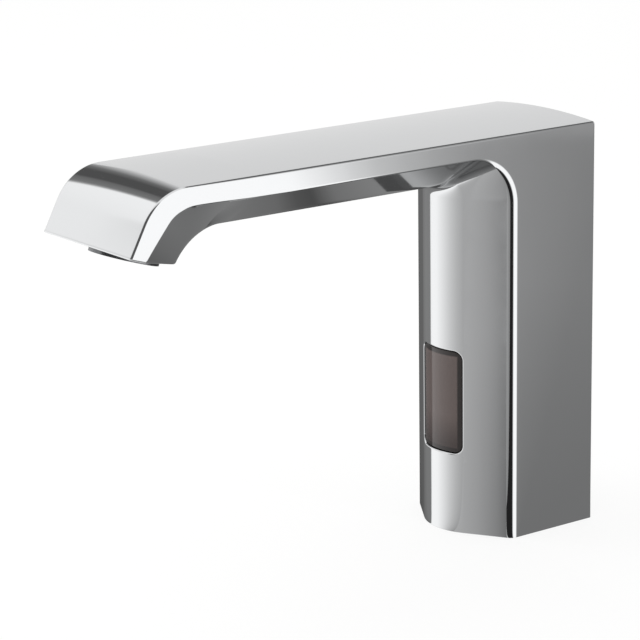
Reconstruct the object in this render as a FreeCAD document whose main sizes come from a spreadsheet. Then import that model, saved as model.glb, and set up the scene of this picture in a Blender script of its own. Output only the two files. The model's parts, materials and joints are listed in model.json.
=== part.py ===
import FreeCAD, Part
import math
import os
import re
from types import SimpleNamespace
import Sketcher
from FreeCAD import Placement, Rotation, Vector

# A sensor tap: one chrome casting (column and straight spout), the sensor behind its window, a solenoid valve
# on the base plate, and the aerator in the nose. Millimetres. The base stands on Z = 0, +Z is up, the spout
# points to -Y, and the origin is the middle of the column's foot.

os.makedirs("parts", exist_ok=True)
doc = FreeCAD.newDocument("sensor_tap")

sizes = {
    # the casting from outside
    "tap_width": 50.0,
    "back_face": 23.8,          # from the origin to the back of the column
    "side_depth": 35.5,         # flat side of the column, back face to front corner
    "facet_angle": 32.5,        # how far the two front facets turn away from the middle
    "keel_radius": 20.0,        # rounding between the two facets
    "edge_height": 137.5,       # base to the top edge
    "top_crown": 1.5,           # rise of the top in the middle
    "band_height": 6.5,         # flat side of the spout
    "corner_radius": 2.0,
    "joint_radius": 4.0,        # hollow rounding between the keels of spout and column
    "nose_reach": 158.5,        # origin to the lower front edge of the nose
    "nose_drop": 19.3,          # top edge down to the lower front edge of the nose
    "nose_run_in": 0.5,         # straight run before the first long edge bends
    "nose_angle": 28.0,         # nose front, from upright
    "nose_band_angle": 39.0,    # lower edge of the side band in the nose, from upright
    "nose_band": 5.5,           # width of the side band at the outlet
    "nose_depth": 30.7,         # outlet face, front to back
    "nose_radius": 18.0,
    "nose_band_radius": 11.0,
    "nose_keel_radius": 12.5,
    "outlet_tilt": 17.5,        # outlet face, from level
    "outlet_setback": 14.3,     # front edge to the outlet's middle, along its face
    # the casting from inside
    "wall": 3.0,
    "web_drop": 25.5,           # top edge down to the web between the dry column and the wet spout
    "web_thickness": 6.0,
    "chamber_front": 8.0,       # front of the wet chamber over the web, before the origin
    "spout_way_end": 140.0,     # how far the hollow of the spout reaches
    "base_lug_radius": 5.0,
    "base_lug_top": 19.0,
    "base_screw_inset": 4.4,    # from the inner wall
    "base_screw_back_inset": 4.3,
    "base_screw_front_y": 7.5,
    # base
    "gasket_thickness": 2.0,
    "gasket_gap": 0.3,
    "plate_thickness": 5.0,
    "stud_inset": 5.0,          # from the inner wall
    "stud_y": 4.0,
    "stud_hole_radius": 2.5,
    "stud_lug_radius": 3.9,
    "stud_lug_height": 6.0,
    "base_screw_radius": 2.0,
    "base_screw_length": 12.0,
    "base_head_radius": 3.6,
    "base_head_height": 2.6,
    "grommet_y": 15.0,          # in front of the origin
    "grommet_radius": 3.6,
    "grommet_flange": 0.8,
    "grommet_flange_height": 1.5,
    "lead_radius": 1.3,
    # inlet and check valve, on the valve's axis
    "valve_y": 8.0,
    "inlet_thread_radius": 4.5,
    "inlet_thread_depth": 12.0,
    "inlet_neck_radius": 6.9,
    "inlet_flange_radius": 10.5,
    "inlet_flange_height": 3.0,
    "inlet_bore_radius": 8.0,
    "inlet_plug_length": 9.0,
    "o_ring_wire": 0.9,
    "filter_height": 6.0,
    "filter_wall": 0.5,
    "seat_hole_radius": 3.4,
    "seat_thickness": 2.0,
    "cage_height": 9.6,
    "cage_wall": 1.2,
    "guide_thickness": 1.6,
    "guide_hole_radius": 1.6,
    "guide_hole_offset": 4.2,
    "poppet_radius": 4.8,
    "poppet_thickness": 1.4,
    "stem_radius": 1.0,
    "spring_wire": 0.25,
    "check_spring_radius": 1.7,
    # solenoid valve
    "valve_side_room": 10.0,    # between the valve and the inner wall, for the way up
    "valve_depth": 24.0,
    "valve_top": 57.0,
    "valve_floor": 38.0,        # top of the bore for the check valve
    "valve_step_radius": 6.5,
    "outlet_height": 44.0,
    "water_radius": 3.0,
    "feed_radius": 1.6,
    "bleed_radius": 0.5,        # hole through the diaphragm
    "feed_offset": 6.2,
    "chamber_wall": 2.4,
    "chamber_floor": 49.5,
    "elbow_bore_radius": 2.2,
    "seat_radius": 4.4,
    "seat_top": 52.6,
    "diaphragm_thickness": 1.4,
    "diaphragm_gap": 0.3,
    "insert_radius": 6.5,
    "insert_thickness": 1.6,
    "bonnet_height": 7.0,
    "bonnet_recess": 2.5,
    "bonnet_recess_radius": 7.2,
    "bonnet_screw_inset": 2.2,
    "bonnet_screw_radius": 1.2,
    "bonnet_screw_length": 12.0,
    "bonnet_head_radius": 2.1,
    "bonnet_head_height": 1.6,
    "pilot_radius": 0.8,
    "guide_outer_radius": 4.5,
    "guide_wall": 0.4,
    "guide_length": 25.0,
    "guide_seat_depth": 2.5,
    "stop_length": 6.0,
    "pilot_nozzle_radius": 1.6,
    "pilot_nozzle_height": 0.8,
    "core_stud_radius": 2.5,
    "core_stud_length": 3.5,
    "plunger_travel": 1.8,
    "plunger_pocket_radius": 2.2,
    "plunger_pocket_depth": 6.0,
    "plunger_spring_radius": 1.7,
    "seal_radius": 2.6,
    "seal_thickness": 1.2,
    "running_gap": 0.05,
    "coil_radius": 9.5,
    "bobbin_wall": 0.9,
    "winding_radius": 8.8,
    "yoke_thickness": 1.5,
    "yoke_gap": 0.2,            # beside the heads of the bonnet screws
    "coil_nut_radius": 5.5,
    "coil_nut_height": 2.5,
    # way up to the spout
    "elbow_radius": 4.2,
    "elbow_inset": 4.8,         # from the inner wall
    "elbow_plug_length": 4.0,
    "barb_radius": 3.1,
    "barb_length": 8.0,
    "hose_radius": 4.1,
    "riser_inset": 6.5,         # from the inner wall
    "riser_y": 6.0,
    "riser_nut_radius": 6.0,
    "riser_nut_height": 4.0,
    "riser_thread_radius": 5.0,
    "washer_height": 1.0,
    "clip_thickness": 0.5,
    "clip_height": 4.0,
    # sensor
    "window_width": 20.3,
    "window_height": 35.5,
    "window_bottom": 27.6,
    "window_corner": 3.0,
    "lens_setback": 0.4,
    "lens_gap": 0.15,
    "lens_ledge": 1.2,
    "frame_thickness": 0.8,
    "frame_width": 2.0,
    "housing_width": 26.0,
    "housing_height": 43.0,
    "housing_back": 8.0,        # in front of the origin
    "housing_wall": 1.5,
    "cover_thickness": 1.6,
    "cover_screw_radius": 0.9,
    "cover_screw_length": 4.5,
    "cover_head_radius": 1.6,
    "cover_head_height": 0.9,
    "cover_lug": 2.1,
    "board_thickness": 1.2,
    "board_front": 12.0,        # in front of the origin
    "board_gap": 0.3,
    "diode_radius": 2.3,
    "diode_length": 4.6,
    "diode_spread": 19.0,
    "led_radius": 1.3,
    "led_length": 3.4,
    "bracket_thickness": 1.0,
    "bracket_width": 10.0,
    "bracket_height": 55.0,
    "bracket_foot": 5.0,
    "bracket_foot_gap": 1.6,    # beside the base lugs
    "bracket_screw_inset": 3.0,
    "bracket_screw_radius": 1.2,
    "bracket_screw_length": 4.0,
    "bracket_head_radius": 2.0,
    "bracket_head_height": 1.2,
    "lead_setback": 2.5,        # leads run so far in front of the board
    "lead_straight": 8.0,       # straight run of a lead where it starts
    "lead_entry": 3.0,          # straight run of a lead outside the housing
    # aerator, measured along the outlet's axis
    "aerator_radius": 10.4,
    "aerator_bore_gap": 0.08,
    "aerator_length": 9.0,
    "rim_radius": 11.0,
    "rim_height": 1.5,
    "aerator_wall": 1.2,
    "rim_lip": 0.9,
    "washer_thickness": 1.5,
    "throat_radius": 8.5,
    "throat_top": 14.0,
    "straightener_height": 4.0,
    "straightener_gap": 0.1,
    "straightener_hole": 0.62,
    "straightener_pitch": 1.8,
    "screen_thickness": 0.4,
    "screen_hole": 0.5,
    "diffuser_floor": 1.2,
    "diffuser_wall": 1.1,
    "diffuser_hole": 0.8,
    "diffuser_hole_offset": 5.6,
}

sheet = doc.addObject("Spreadsheet::Sheet", "sizes")
for row, (alias, number) in enumerate(sizes.items(), start=1):
    sheet.set("A%d" % row, alias)
    sheet.set("B%d" % row, str(number))
    sheet.setAlias("B%d" % row, alias)
doc.recompute()
size = SimpleNamespace(**{alias: float(sheet.get(alias)) for alias in sizes})

names_in_sheet = re.compile(r"\b(" + "|".join(sorted(sizes, key=len, reverse=True)) + r")\b")
finished = []           # every sub-part, in the order in which it is made


def bound(text):
    """An expression on the sheet: the aliases in it get the sheet's name."""
    return names_in_sheet.sub(r"sizes.\1", text)


def keep(part, label):
    part.Label = label
    finished.append(part)
    return part


def put(part, x="0", y="0", z="0"):
    for axis, text in zip("xyz", (x, y, z)):
        part.setExpression("Placement.Base." + axis, bound(text))
    return part


def sheet_value(text):
    """The number that an expression on the sheet has now."""
    return float(sheet.evalExpression(bound(text)))


def origin_plane(body, role):
    return [feature for feature in body.Origin.OriginFeatures if feature.Role == role][0]


def new_body(label):
    return doc.addObject("PartDesign::Body", label)


def new_sketch(body, role):
    sketch = body.newObject("Sketcher::SketchObject", body.Name + "_sketch")
    sketch.AttachmentSupport = (origin_plane(body, role), [""])
    sketch.MapMode = "FlatFace"
    return sketch


def pin_point(sketch, edge, end, x, y):
    rough = sketch.getPoint(edge, end)
    for kind, start, text in (("DistanceX", rough.x, x), ("DistanceY", rough.y, y)):
        index = sketch.addConstraint(Sketcher.Constraint(kind, -1, 1, edge, end, start))
        sketch.setExpression("Constraints[%d]" % index, bound(text))


def polygon(sketch, points):
    """Closed outline through points given as pairs of expressions."""
    count = len(points)
    ring = [Vector(math.cos(2 * math.pi * k / count), math.sin(2 * math.pi * k / count)) for k in range(count)]
    for k in range(count):
        sketch.addGeometry(Part.LineSegment(ring[k], ring[(k + 1) % count]))
    for k in range(count):
        sketch.addConstraint(Sketcher.Constraint("Coincident", k, 2, (k + 1) % count, 1))
    for k, (x, y) in enumerate(points):
        pin_point(sketch, k, 1, x, y)


def circle(sketch, x, y, radius):
    edge = sketch.addGeometry(Part.Circle(Vector(1, 1, 0), Vector(0, 0, 1), 1.0))
    pin_point(sketch, edge, 3, x, y)
    index = sketch.addConstraint(Sketcher.Constraint("Radius", edge, 1.0))
    sketch.setExpression("Constraints[%d]" % index, bound(radius))


def turned(label, outline):
    """A turned piece: its half section as (radius, height) pairs, turned about Z."""
    body = new_body(label)
    sketch = new_sketch(body, "XZ_Plane")
    polygon(sketch, outline)
    turn = body.newObject("PartDesign::Revolution", label + "_turn")
    turn.Profile = sketch
    turn.ReferenceAxis = (sketch, ["V_Axis"])
    turn.Angle = 360
    return body


def ring_outline(inner, outer, low, high):
    return [(inner, low), (outer, low), (outer, high), (inner, high)]


def padded(label, outline, height, holes=(), role="XY_Plane"):
    """A flat piece: its outline and its round holes, padded upwards."""
    body = new_body(label)
    sketch = new_sketch(body, role)
    if callable(outline):
        outline(sketch)
    else:
        polygon(sketch, outline)
    for x, y, radius in holes:
        circle(sketch, x, y, radius)
    pad = body.newObject("PartDesign::Pad", label + "_pad")
    pad.Profile = sketch
    pad.setExpression("Length", bound(height))
    return body


def cylinder(name, radius, height, x="0", y="0", z="0", turn=None):
    rod = doc.addObject("Part::Cylinder", name)
    if turn:
        rod.Placement = Placement(Vector(), turn)
    rod.setExpression("Radius", bound(radius))
    rod.setExpression("Height", bound(height))
    return put(rod, x, y, z)


def box(name, length, width, height, x="0", y="0", z="0"):
    block = doc.addObject("Part::Box", name)
    block.setExpression("Length", bound(length))
    block.setExpression("Width", bound(width))
    block.setExpression("Height", bound(height))
    return put(block, x, y, z)


def group(name, parts):
    bundle = doc.addObject("Part::Compound", name)
    bundle.Links = parts
    return bundle


def fused(name, parts):
    joined = doc.addObject("Part::MultiFuse", name)
    joined.Shapes = parts
    joined.Refine = True
    return joined


def cut(name, base, tools):
    tool = tools[0]
    if len(tools) > 1:
        tool = doc.addObject("Part::MultiFuse", name + "_tools")
        tool.Shapes = tools
    left = doc.addObject("Part::Cut", name)
    left.Base = base
    left.Tool = tool
    return left


def common(name, base, tool):
    shared = doc.addObject("Part::Common", name)
    shared.Base = base
    shared.Tool = tool
    return shared


# ---- hull sections: a flat back, two flat sides, and two facets that meet in a rounded keel

bow = ("((tap_width / 2 - keel_radius * sin(facet_angle)) * tan(facet_angle)"
       " + keel_radius * (1 - cos(facet_angle)))")
keel_centre = "(back_face - side_depth - %s + keel_radius)" % bow


def hull_outline(inset):
    """Draws the column's section, smaller by inset all round, in a sketch."""
    half = "(tap_width / 2 - (%s))" % inset
    radius = "(keel_radius - (%s))" % inset
    tip_x = "%s * sin(facet_angle)" % radius
    tip_y = "(%s - %s * cos(facet_angle))" % (keel_centre, radius)
    side_y = "%s + (%s - %s) * tan(facet_angle)" % (tip_y, half, tip_x)
    back_y = "back_face - (%s)" % inset
    corners = [("-" + half, side_y), ("-" + half, back_y), (half, back_y), (half, side_y), (tip_x, tip_y),
               ("-" + tip_x, tip_y)]

    def draw(sketch):
        ring = [Vector(sheet_value(x), sheet_value(y)) for x, y in corners]
        for start, end in zip(ring[:4], ring[1:5]):
            sketch.addGeometry(Part.LineSegment(start, end))
        circle_of_keel = Part.Circle(Vector(0, sheet_value(keel_centre)), Vector(0, 0, 1), sheet_value(radius))
        sketch.addGeometry(Part.ArcOfCircle(circle_of_keel, math.radians(270 - size.facet_angle),
                                            math.radians(270 + size.facet_angle)))
        sketch.addGeometry(Part.LineSegment(ring[5], ring[0]))
        for k in range(3):
            sketch.addConstraint(Sketcher.Constraint("Coincident", k, 2, k + 1, 1))
        sketch.addConstraint(Sketcher.Constraint("Coincident", 3, 2, 4, 2))
        sketch.addConstraint(Sketcher.Constraint("Coincident", 4, 1, 5, 1))
        sketch.addConstraint(Sketcher.Constraint("Coincident", 5, 2, 0, 1))
        for k in range(4):
            pin_point(sketch, k, 1, *corners[k])
        pin_point(sketch, 3, 2, *corners[4])
        pin_point(sketch, 5, 1, *corners[5])
        index = sketch.addConstraint(Sketcher.Constraint("Radius", 4, sheet_value(radius)))
        sketch.setExpression("Constraints[%d]" % index, bound(radius))

    return draw


def hull_wire(place, half, band, keel, radius, top=0.0, crown=0.0, corner=0.0, inset=0.0):
    """Section with place(across, down) for its plane; band, keel and top are depths below the top edge."""
    centre = keel - radius
    reach = math.hypot(half, band - centre)
    angle = math.atan2(band - centre, half) + math.acos(radius / reach)
    small = radius - inset
    tip = Vector(small * math.cos(angle), centre + small * math.sin(angle), 0)
    side = half - inset
    bend = Vector(side, tip.y - (side - tip.x) / math.tan(angle), 0)
    shoulder = Vector(side, top + inset, 0)
    right = [shoulder, bend, tip]
    arcs = []
    if corner:
        up_way = Vector(0, -1, 0)
        facet_way = (tip - bend).normalize()
        half_turn = up_way.getAngle(facet_way) / 2
        cut_back = corner / math.tan(half_turn)
        middle = bend + (up_way + facet_way).normalize() * (corner / math.sin(half_turn) - corner)
        right = [shoulder, bend + up_way * cut_back, bend + facet_way * cut_back, tip]
        arcs = [middle]

    def at(point, mirror=1):
        return place(mirror * point.x, point.y)

    def flank(mirror):
        runs = [Part.LineSegment(at(right[0], mirror), at(right[1], mirror))]
        for middle in arcs:
            runs.append(Part.Arc(at(right[1], mirror), at(middle, mirror), at(right[2], mirror)))
        runs.append(Part.LineSegment(at(right[-2], mirror), at(right[-1], mirror)))
        return runs

    keel_arc = Part.Arc(at(tip), place(0, keel - inset), at(tip, -1))
    if crown:
        lid = Part.Arc(at(shoulder, -1), place(0, top + inset - crown), at(shoulder))
    else:
        lid = Part.LineSegment(at(shoulder, -1), at(shoulder))
    runs = flank(1) + [keel_arc] + flank(-1)[::-1] + [lid]
    return Part.Wire(Part.sortEdges([run.toShape() for run in runs])[0])


# ---- the casting's outside

half_width = size.tap_width / 2
facet = math.radians(size.facet_angle)
bow_depth = ((half_width - size.keel_radius * math.sin(facet)) * math.tan(facet)
             + size.keel_radius * (1 - math.cos(facet)))
keel_depth = size.band_height + bow_depth
corner_y = size.back_face - size.side_depth
tilt = math.radians(size.outlet_tilt)


def on_level(z):
    return lambda across, down: Vector(across, size.back_face - down, z)


def on_upright(y):
    return lambda across, down: Vector(across, y, size.edge_height - down)


def between(points, share):
    """The point at a share of the length of a wire."""
    edges = points.OrderedEdges
    target = share * points.Length
    for edge in edges:
        if target <= edge.Length or edge is edges[-1]:
            return edge.valueAt(edge.getParameterByLength(min(target, edge.Length)))
        target -= edge.Length


def bent_line(start, corner, end, radius):
    """Two runs joined by a tangent arc, as a wire."""
    first = (start - corner).normalize()
    second = (end - corner).normalize()
    half_turn = first.getAngle(second) / 2
    cut_back = radius / math.tan(half_turn)
    entry = corner + first * cut_back
    leave = corner + second * cut_back
    middle_way = (first + second).normalize()
    middle = corner + middle_way * (radius / math.sin(half_turn) - radius)
    return Part.Wire([Part.LineSegment(start, entry).toShape(),
                      Part.Arc(entry, middle, leave).toShape(),
                      Part.LineSegment(leave, end).toShape()])


def nose_line(height, end, angle, radius, start_y):
    """Side view of one long edge: level at height, then down to end at angle from upright."""
    corner = Vector(0, end.y + (height - end.z) * math.tan(math.radians(angle)), height)
    return bent_line(Vector(0, start_y, height), corner, end, radius)


along_outlet = Vector(0, math.cos(tilt), -math.sin(tilt))
outlet_axis = Vector(0, math.sin(tilt), math.cos(tilt))
nose_tip = Vector(0, -size.nose_reach, size.edge_height - size.nose_drop)
keel_height = size.edge_height - keel_depth
keel_end = nose_tip + along_outlet * size.nose_depth
keel_corner_y = keel_end.y + (keel_height - keel_end.z) * math.tan(math.radians(size.nose_angle))
nose_start = (keel_corner_y + size.nose_radius * math.tan(math.radians(90 - size.nose_angle) / 2)
              + size.nose_run_in)
top_line = nose_line(size.edge_height, nose_tip, size.nose_angle, size.nose_radius, nose_start)
band_line = nose_line(size.edge_height - size.band_height, nose_tip + along_outlet * size.nose_band,
                      size.nose_band_angle, size.nose_band_radius, nose_start)
keel_line = nose_line(keel_height, keel_end, size.nose_angle, size.nose_radius, nose_start)


def nose_section(share):
    top = between(top_line, share)
    edge = between(band_line, share)
    keel = between(keel_line, share)
    down_way = (keel - top).normalize()
    radius = size.keel_radius + (size.nose_keel_radius - size.keel_radius) * share
    crown = size.top_crown * (1 - share)

    def place(across, down):
        return Vector(across, 0, 0) + top + down_way * down

    corner = size.corner_radius * (1 - share / 2)
    return hull_wire(place, half_width, (edge - top).dot(down_way), (keel - top).Length, radius,
                     crown=crown, corner=corner)


def casting_shape():
    """Column, spout and nose, and the elbow between them, turned about an axis in front of the column."""
    section = (half_width, size.band_height, keel_depth, size.keel_radius)
    across = Vector(size.tap_width, 0, 0)
    turn_radius = bow_depth + size.joint_radius
    axis = Vector(-half_width, corner_y - turn_radius, size.edge_height - size.band_height - turn_radius)
    split = size.band_height / 2
    outer = turn_radius + split
    diagonal = outer / math.sqrt(2)

    def at_axis(right, down):
        return Vector(right, corner_y + size.band_height - down, axis.z)

    column = Part.Face(hull_wire(on_level(0), half_width, size.side_depth, size.side_depth + bow_depth,
                                 size.keel_radius, corner=size.corner_radius)).extrude(Vector(0, 0, axis.z))
    spout = Part.Face(hull_wire(on_upright(axis.y), *section, crown=size.top_crown,
                                corner=size.corner_radius)).extrude(Vector(0, nose_start - axis.y, 0))
    elbow = Part.Face(hull_wire(at_axis, *section, top=split, corner=size.corner_radius)).revolve(
        axis, Vector(1, 0, 0), 90)
    entry = axis + Vector(0, outer, 0)
    leave = axis + Vector(0, 0, outer)
    back_low = Vector(-half_width, size.back_face, axis.z)
    back_high = Vector(-half_width, size.back_face, size.edge_height)
    front_high = Vector(-half_width, axis.y, size.edge_height)
    head = Part.Face(Part.Wire([
        Part.Arc(entry, axis + Vector(0, diagonal, diagonal), leave).toShape(),
        Part.LineSegment(leave, front_high).toShape(),
        Part.LineSegment(front_high, back_high).toShape(),
        Part.LineSegment(back_high, back_low).toShape(),
        Part.LineSegment(back_low, entry).toShape()])).extrude(across)
    crown_middle = Vector(0, axis.y, size.edge_height + size.top_crown)
    crown = Part.Face(Part.Wire([
        Part.Arc(front_high, crown_middle, front_high + across).toShape(),
        Part.LineSegment(front_high + across, front_high).toShape()])).extrude(
            Vector(0, size.back_face - axis.y, 0))
    nose = Part.makeLoft([nose_section(step / nose_steps) for step in range(nose_steps + 1)], True, False)
    return column.fuse([spout, elbow, head, crown, nose]).removeSplitter()


nose_steps = 10
casting_form = doc.addObject("Part::Feature", "casting_form")
casting_form.Shape = casting_shape()


# ---- the casting's inside

plate_top = "(gasket_thickness + plate_thickness)"
wet_top = "(edge_height - wall)"
web_bottom = "(edge_height - web_drop)"
web_top = "(edge_height - web_drop + web_thickness)"
inner_side = "(tap_width / 2 - wall)"
base_screw_x = "(%s - base_screw_inset)" % inner_side
stud_x = "(%s - stud_inset)" % inner_side
elbow_x = "(%s - elbow_inset)" % inner_side
riser_x = "(%s - riser_inset)" % inner_side


def in_four(x, *ys):
    """Left and right of the middle, at each place along Y."""
    return [(side + x, y) for y in ys for side in ("", "-")]


base_screw_places = in_four(base_screw_x, "(back_face - wall - base_screw_back_inset)", "-base_screw_front_y")


def upright_rods(name, radius, height, places, z):
    return [cylinder("%s_%d" % (name, k), radius, height, x, y, z) for k, (x, y) in enumerate(places, start=1)]


def at_outlet(part, along="0"):
    """Places a piece on the outlet's axis, so far into the nose."""
    part.Placement = Placement(Vector(), Rotation(Vector(-1, 0, 0), 1.0))
    part.setExpression("Placement.Rotation.Angle", bound("outlet_tilt"))
    y = "outlet_setback * cos(outlet_tilt) - nose_reach + (%s) * sin(outlet_tilt)" % along
    z = "edge_height - nose_drop - outlet_setback * sin(outlet_tilt) + (%s) * cos(outlet_tilt)" % along
    return put(part, "0", y, z)


def rounded_window(name, grow, depth):
    """The window's outline, larger by grow all round, as a block through the front wall."""
    wide = "(window_width + 2 * (%s))" % grow
    tall = "(window_height + 2 * (%s))" % grow
    corner = "(window_corner + (%s))" % grow
    low = "(window_bottom - (%s))" % grow
    front = "-" + depth
    blocks = [box(name + "_tall", "%s - 2 * %s" % (wide, corner), depth, tall,
                  "%s - %s / 2" % (corner, wide), front, low),
              box(name + "_wide", wide, depth, "%s - 2 * %s" % (tall, corner),
                  "-%s / 2" % wide, front, "%s + %s" % (low, corner))]
    towards_back = Rotation(Vector(-1, 0, 0), 90)
    for k, (side, end) in enumerate((a, b) for a in ("", "-") for b in (0, 1)):
        z = "%s + %s" % (low, corner) if end else "%s + %s - %s" % (low, tall, corner)
        blocks.append(cylinder("%s_corner_%d" % (name, k), corner, depth,
                               "%s(%s / 2 - %s)" % (side, wide, corner), front, z, towards_back))
    return fused(name, blocks)


front_reach = "(back_face + tap_width)"
window_hole = rounded_window("window_hole", "0", front_reach)
dry_room = padded("dry_room", hull_outline("wall"), web_bottom)
spout_way = doc.addObject("Part::Feature", "spout_way")
spout_way.Shape = Part.Face(hull_wire(
    on_upright(size.back_face - size.wall), half_width, size.band_height, keel_depth, size.keel_radius,
    inset=size.wall)).extrude(Vector(0, size.wall - size.back_face - size.spout_way_end, 0))
wet_chamber = box("wet_chamber", "tap_width - 2 * wall", "back_face - wall + chamber_front",
                  "%s - %s" % (wet_top, web_top), "-" + inner_side, "-chamber_front", web_top)
riser_hole = cylinder("riser_hole", "riser_thread_radius", "web_thickness + 2", riser_x, "riser_y",
                      "%s - 1" % web_bottom)
aerator_bore = at_outlet(cylinder("aerator_bore", "aerator_radius + aerator_bore_gap",
                                  "aerator_length + washer_thickness + 5"), "-5")
throat = at_outlet(cylinder("throat", "throat_radius", "throat_top"))
casting_shell = cut("casting_shell", casting_form,
                    [window_hole, dry_room, spout_way, wet_chamber, riser_hole, aerator_bore, throat])
base_lugs = upright_rods("base_lug", "base_lug_radius", "base_lug_top - %s" % plate_top, base_screw_places,
                         plate_top)
lug_holes = upright_rods("lug_hole", "base_screw_radius + running_gap", "base_screw_length",
                         base_screw_places, "gasket_thickness + 1")
lugs_in_casting = common("lugs_in_casting", group("base_lugs", base_lugs), casting_form)
keep(cut("casting", fused("casting_with_lugs", [casting_shell, lugs_in_casting]), lug_holes), "body_casting")


# ---- base

stud_places = in_four(stud_x, "stud_y")
plate_inset = "wall + gasket_gap"
gasket = padded("gasket", hull_outline(plate_inset), "gasket_thickness",
                [(x, y, "stud_hole_radius + 0.7") for x, y in stud_places]
                + [("0", "valve_y", "inlet_neck_radius + 0.6"), ("0", "-grommet_y", "lead_radius + 0.5")])
keep(gasket, "base_gasket")

plate = put(padded("plate", hull_outline(plate_inset), "plate_thickness",
                   [("0", "valve_y", "inlet_neck_radius + 0.1"), ("0", "-grommet_y", "grommet_radius + running_gap")]
                   + [(x, y, "base_screw_radius + running_gap") for x, y in base_screw_places]), z="gasket_thickness")
stud_lugs = upright_rods("stud_lug", "stud_lug_radius", "stud_lug_height", stud_places, plate_top)
stud_holes = upright_rods("stud_hole", "stud_hole_radius", "plate_thickness + stud_lug_height + 2", stud_places,
                          "gasket_thickness - 1")
head_rooms = upright_rods("head_room", "base_head_radius + 0.1", "base_head_height", base_screw_places,
                          "gasket_thickness")
bracket_screw_y = "-(housing_back - cover_thickness + bracket_foot / 2)"
bracket_foot_width = "(2 * (%s - base_lug_radius - bracket_foot_gap))" % base_screw_x
bracket_screw_places = in_four("(%s / 2 - bracket_screw_inset)" % bracket_foot_width, bracket_screw_y)
bracket_holes = upright_rods("bracket_hole", "bracket_screw_radius + running_gap", "bracket_screw_length + 1",
                             bracket_screw_places, "%s - bracket_screw_length" % plate_top)
keep(cut("plate_finished", fused("plate_with_lugs", [plate] + stud_lugs),
         stud_holes + head_rooms + bracket_holes), "base_plate")


def screw(name, radius, length, head_radius, head_height):
    """A cheese-head screw, head down, its head's outer face at Z = 0 and its tip up."""
    return turned(name, [("0", "0"), (head_radius, "0"), (head_radius, head_height), (radius, head_height),
                         (radius, length), ("0", length)])


def screws(label, places, z, radius, length, head_radius, head_height, turn=None):
    """One node of identical screws, at places given as (x, y)."""
    solids = []
    for k, (x, y) in enumerate(places, start=1):
        one = screw("%s_%d" % (label, k), radius, length, head_radius, head_height)
        if turn:
            one.Placement = Placement(Vector(), turn)
        solids.append(put(one, x, y, z))
    return keep(group(label + "_set", solids), label)


screws("base_screws", base_screw_places, "gasket_thickness", "base_screw_radius", "base_screw_length",
       "base_head_radius", "base_head_height")

grommet_hole = "lead_radius + running_gap"
grommet_top = "grommet_flange_height + plate_thickness"
keep(put(turned("grommet", [(grommet_hole, "0"), ("grommet_radius", "0"), ("grommet_radius", "plate_thickness"),
                            ("grommet_radius + grommet_flange", "plate_thickness"),
                            ("grommet_radius + grommet_flange", grommet_top), (grommet_hole, grommet_top)]),
         y="-grommet_y", z="gasket_thickness"), "cable_grommet")


# ---- inlet and check valve, upwards from the plate

def on_valve(part, z="0"):
    return put(part, y="valve_y", z=z)


flange_top = "(%s + inlet_flange_height)" % plate_top
plug_top = "(%s + inlet_plug_length)" % flange_top
filter_top = "(%s + filter_height)" % plug_top
cage_top = "(%s + cage_height)" % filter_top
plug_radius = "(inlet_bore_radius - running_gap)"
groove_low = "(%s + inlet_plug_length / 2 - o_ring_wire - 0.1)" % flange_top
groove_high = "(%s + inlet_plug_length / 2 + o_ring_wire + 0.1)" % flange_top
groove_radius = "(inlet_bore_radius - 2 * o_ring_wire)"
thread_top = "(gasket_thickness + inlet_thread_depth)"
inlet_way = "(inlet_thread_radius - 0.7)"
keep(on_valve(turned("inlet", [
    ("inlet_thread_radius", "gasket_thickness"), ("inlet_neck_radius", "gasket_thickness"),
    ("inlet_neck_radius", plate_top), ("inlet_flange_radius", plate_top), ("inlet_flange_radius", flange_top),
    (plug_radius, flange_top), (plug_radius, groove_low), (groove_radius, groove_low),
    (groove_radius, groove_high), (plug_radius, groove_high), (plug_radius, plug_top), (inlet_way, plug_top),
    (inlet_way, thread_top), ("inlet_thread_radius", thread_top)])), "inlet_socket")

ring = doc.addObject("Part::Torus", "inlet_ring")
ring.setExpression("Radius1", bound("inlet_bore_radius - o_ring_wire"))
ring.setExpression("Radius2", bound("o_ring_wire"))
keep(on_valve(ring, "%s + inlet_plug_length / 2" % flange_top), "inlet_o_ring")

filter_cup = turned("filter_cup", [
    ("inlet_bore_radius - 2.2 - filter_wall", "0"), (plug_radius, "0"), (plug_radius, "filter_wall"),
    ("inlet_bore_radius - 2.2", "filter_wall"), ("inlet_bore_radius - 2.2", "filter_height"),
    ("0", "filter_height"), ("0", "filter_height - filter_wall"),
    ("inlet_bore_radius - 2.2 - filter_wall", "filter_height - filter_wall")])
filter_holes = []
for level in (0.3, 0.5, 0.7):
    for step in range(6):
        across_cup = Rotation(Vector(0, 0, 1), 30 * step) * Rotation(Vector(0, 1, 0), 90)
        start = across_cup.multVec(Vector(0, 0, -1))
        filter_holes.append(cylinder("filter_hole_%d_%d" % (10 * level, step), "filter_wall", "2 * inlet_bore_radius",
                                     "%.6f * inlet_bore_radius" % start.x, "%.6f * inlet_bore_radius" % start.y,
                                     "%s * filter_height" % level, across_cup))
keep(on_valve(cut("filter", filter_cup, filter_holes), plug_top), "filter_screen")

cage_inner = "(inlet_bore_radius - running_gap - cage_wall)"
keep(on_valve(turned("cage", [
    ("seat_hole_radius", "0"), (plug_radius, "0"), (plug_radius, "cage_height"), (cage_inner, "cage_height"),
    (cage_inner, "seat_thickness"), ("seat_hole_radius", "seat_thickness")]), filter_top), "check_valve_cage")

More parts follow.
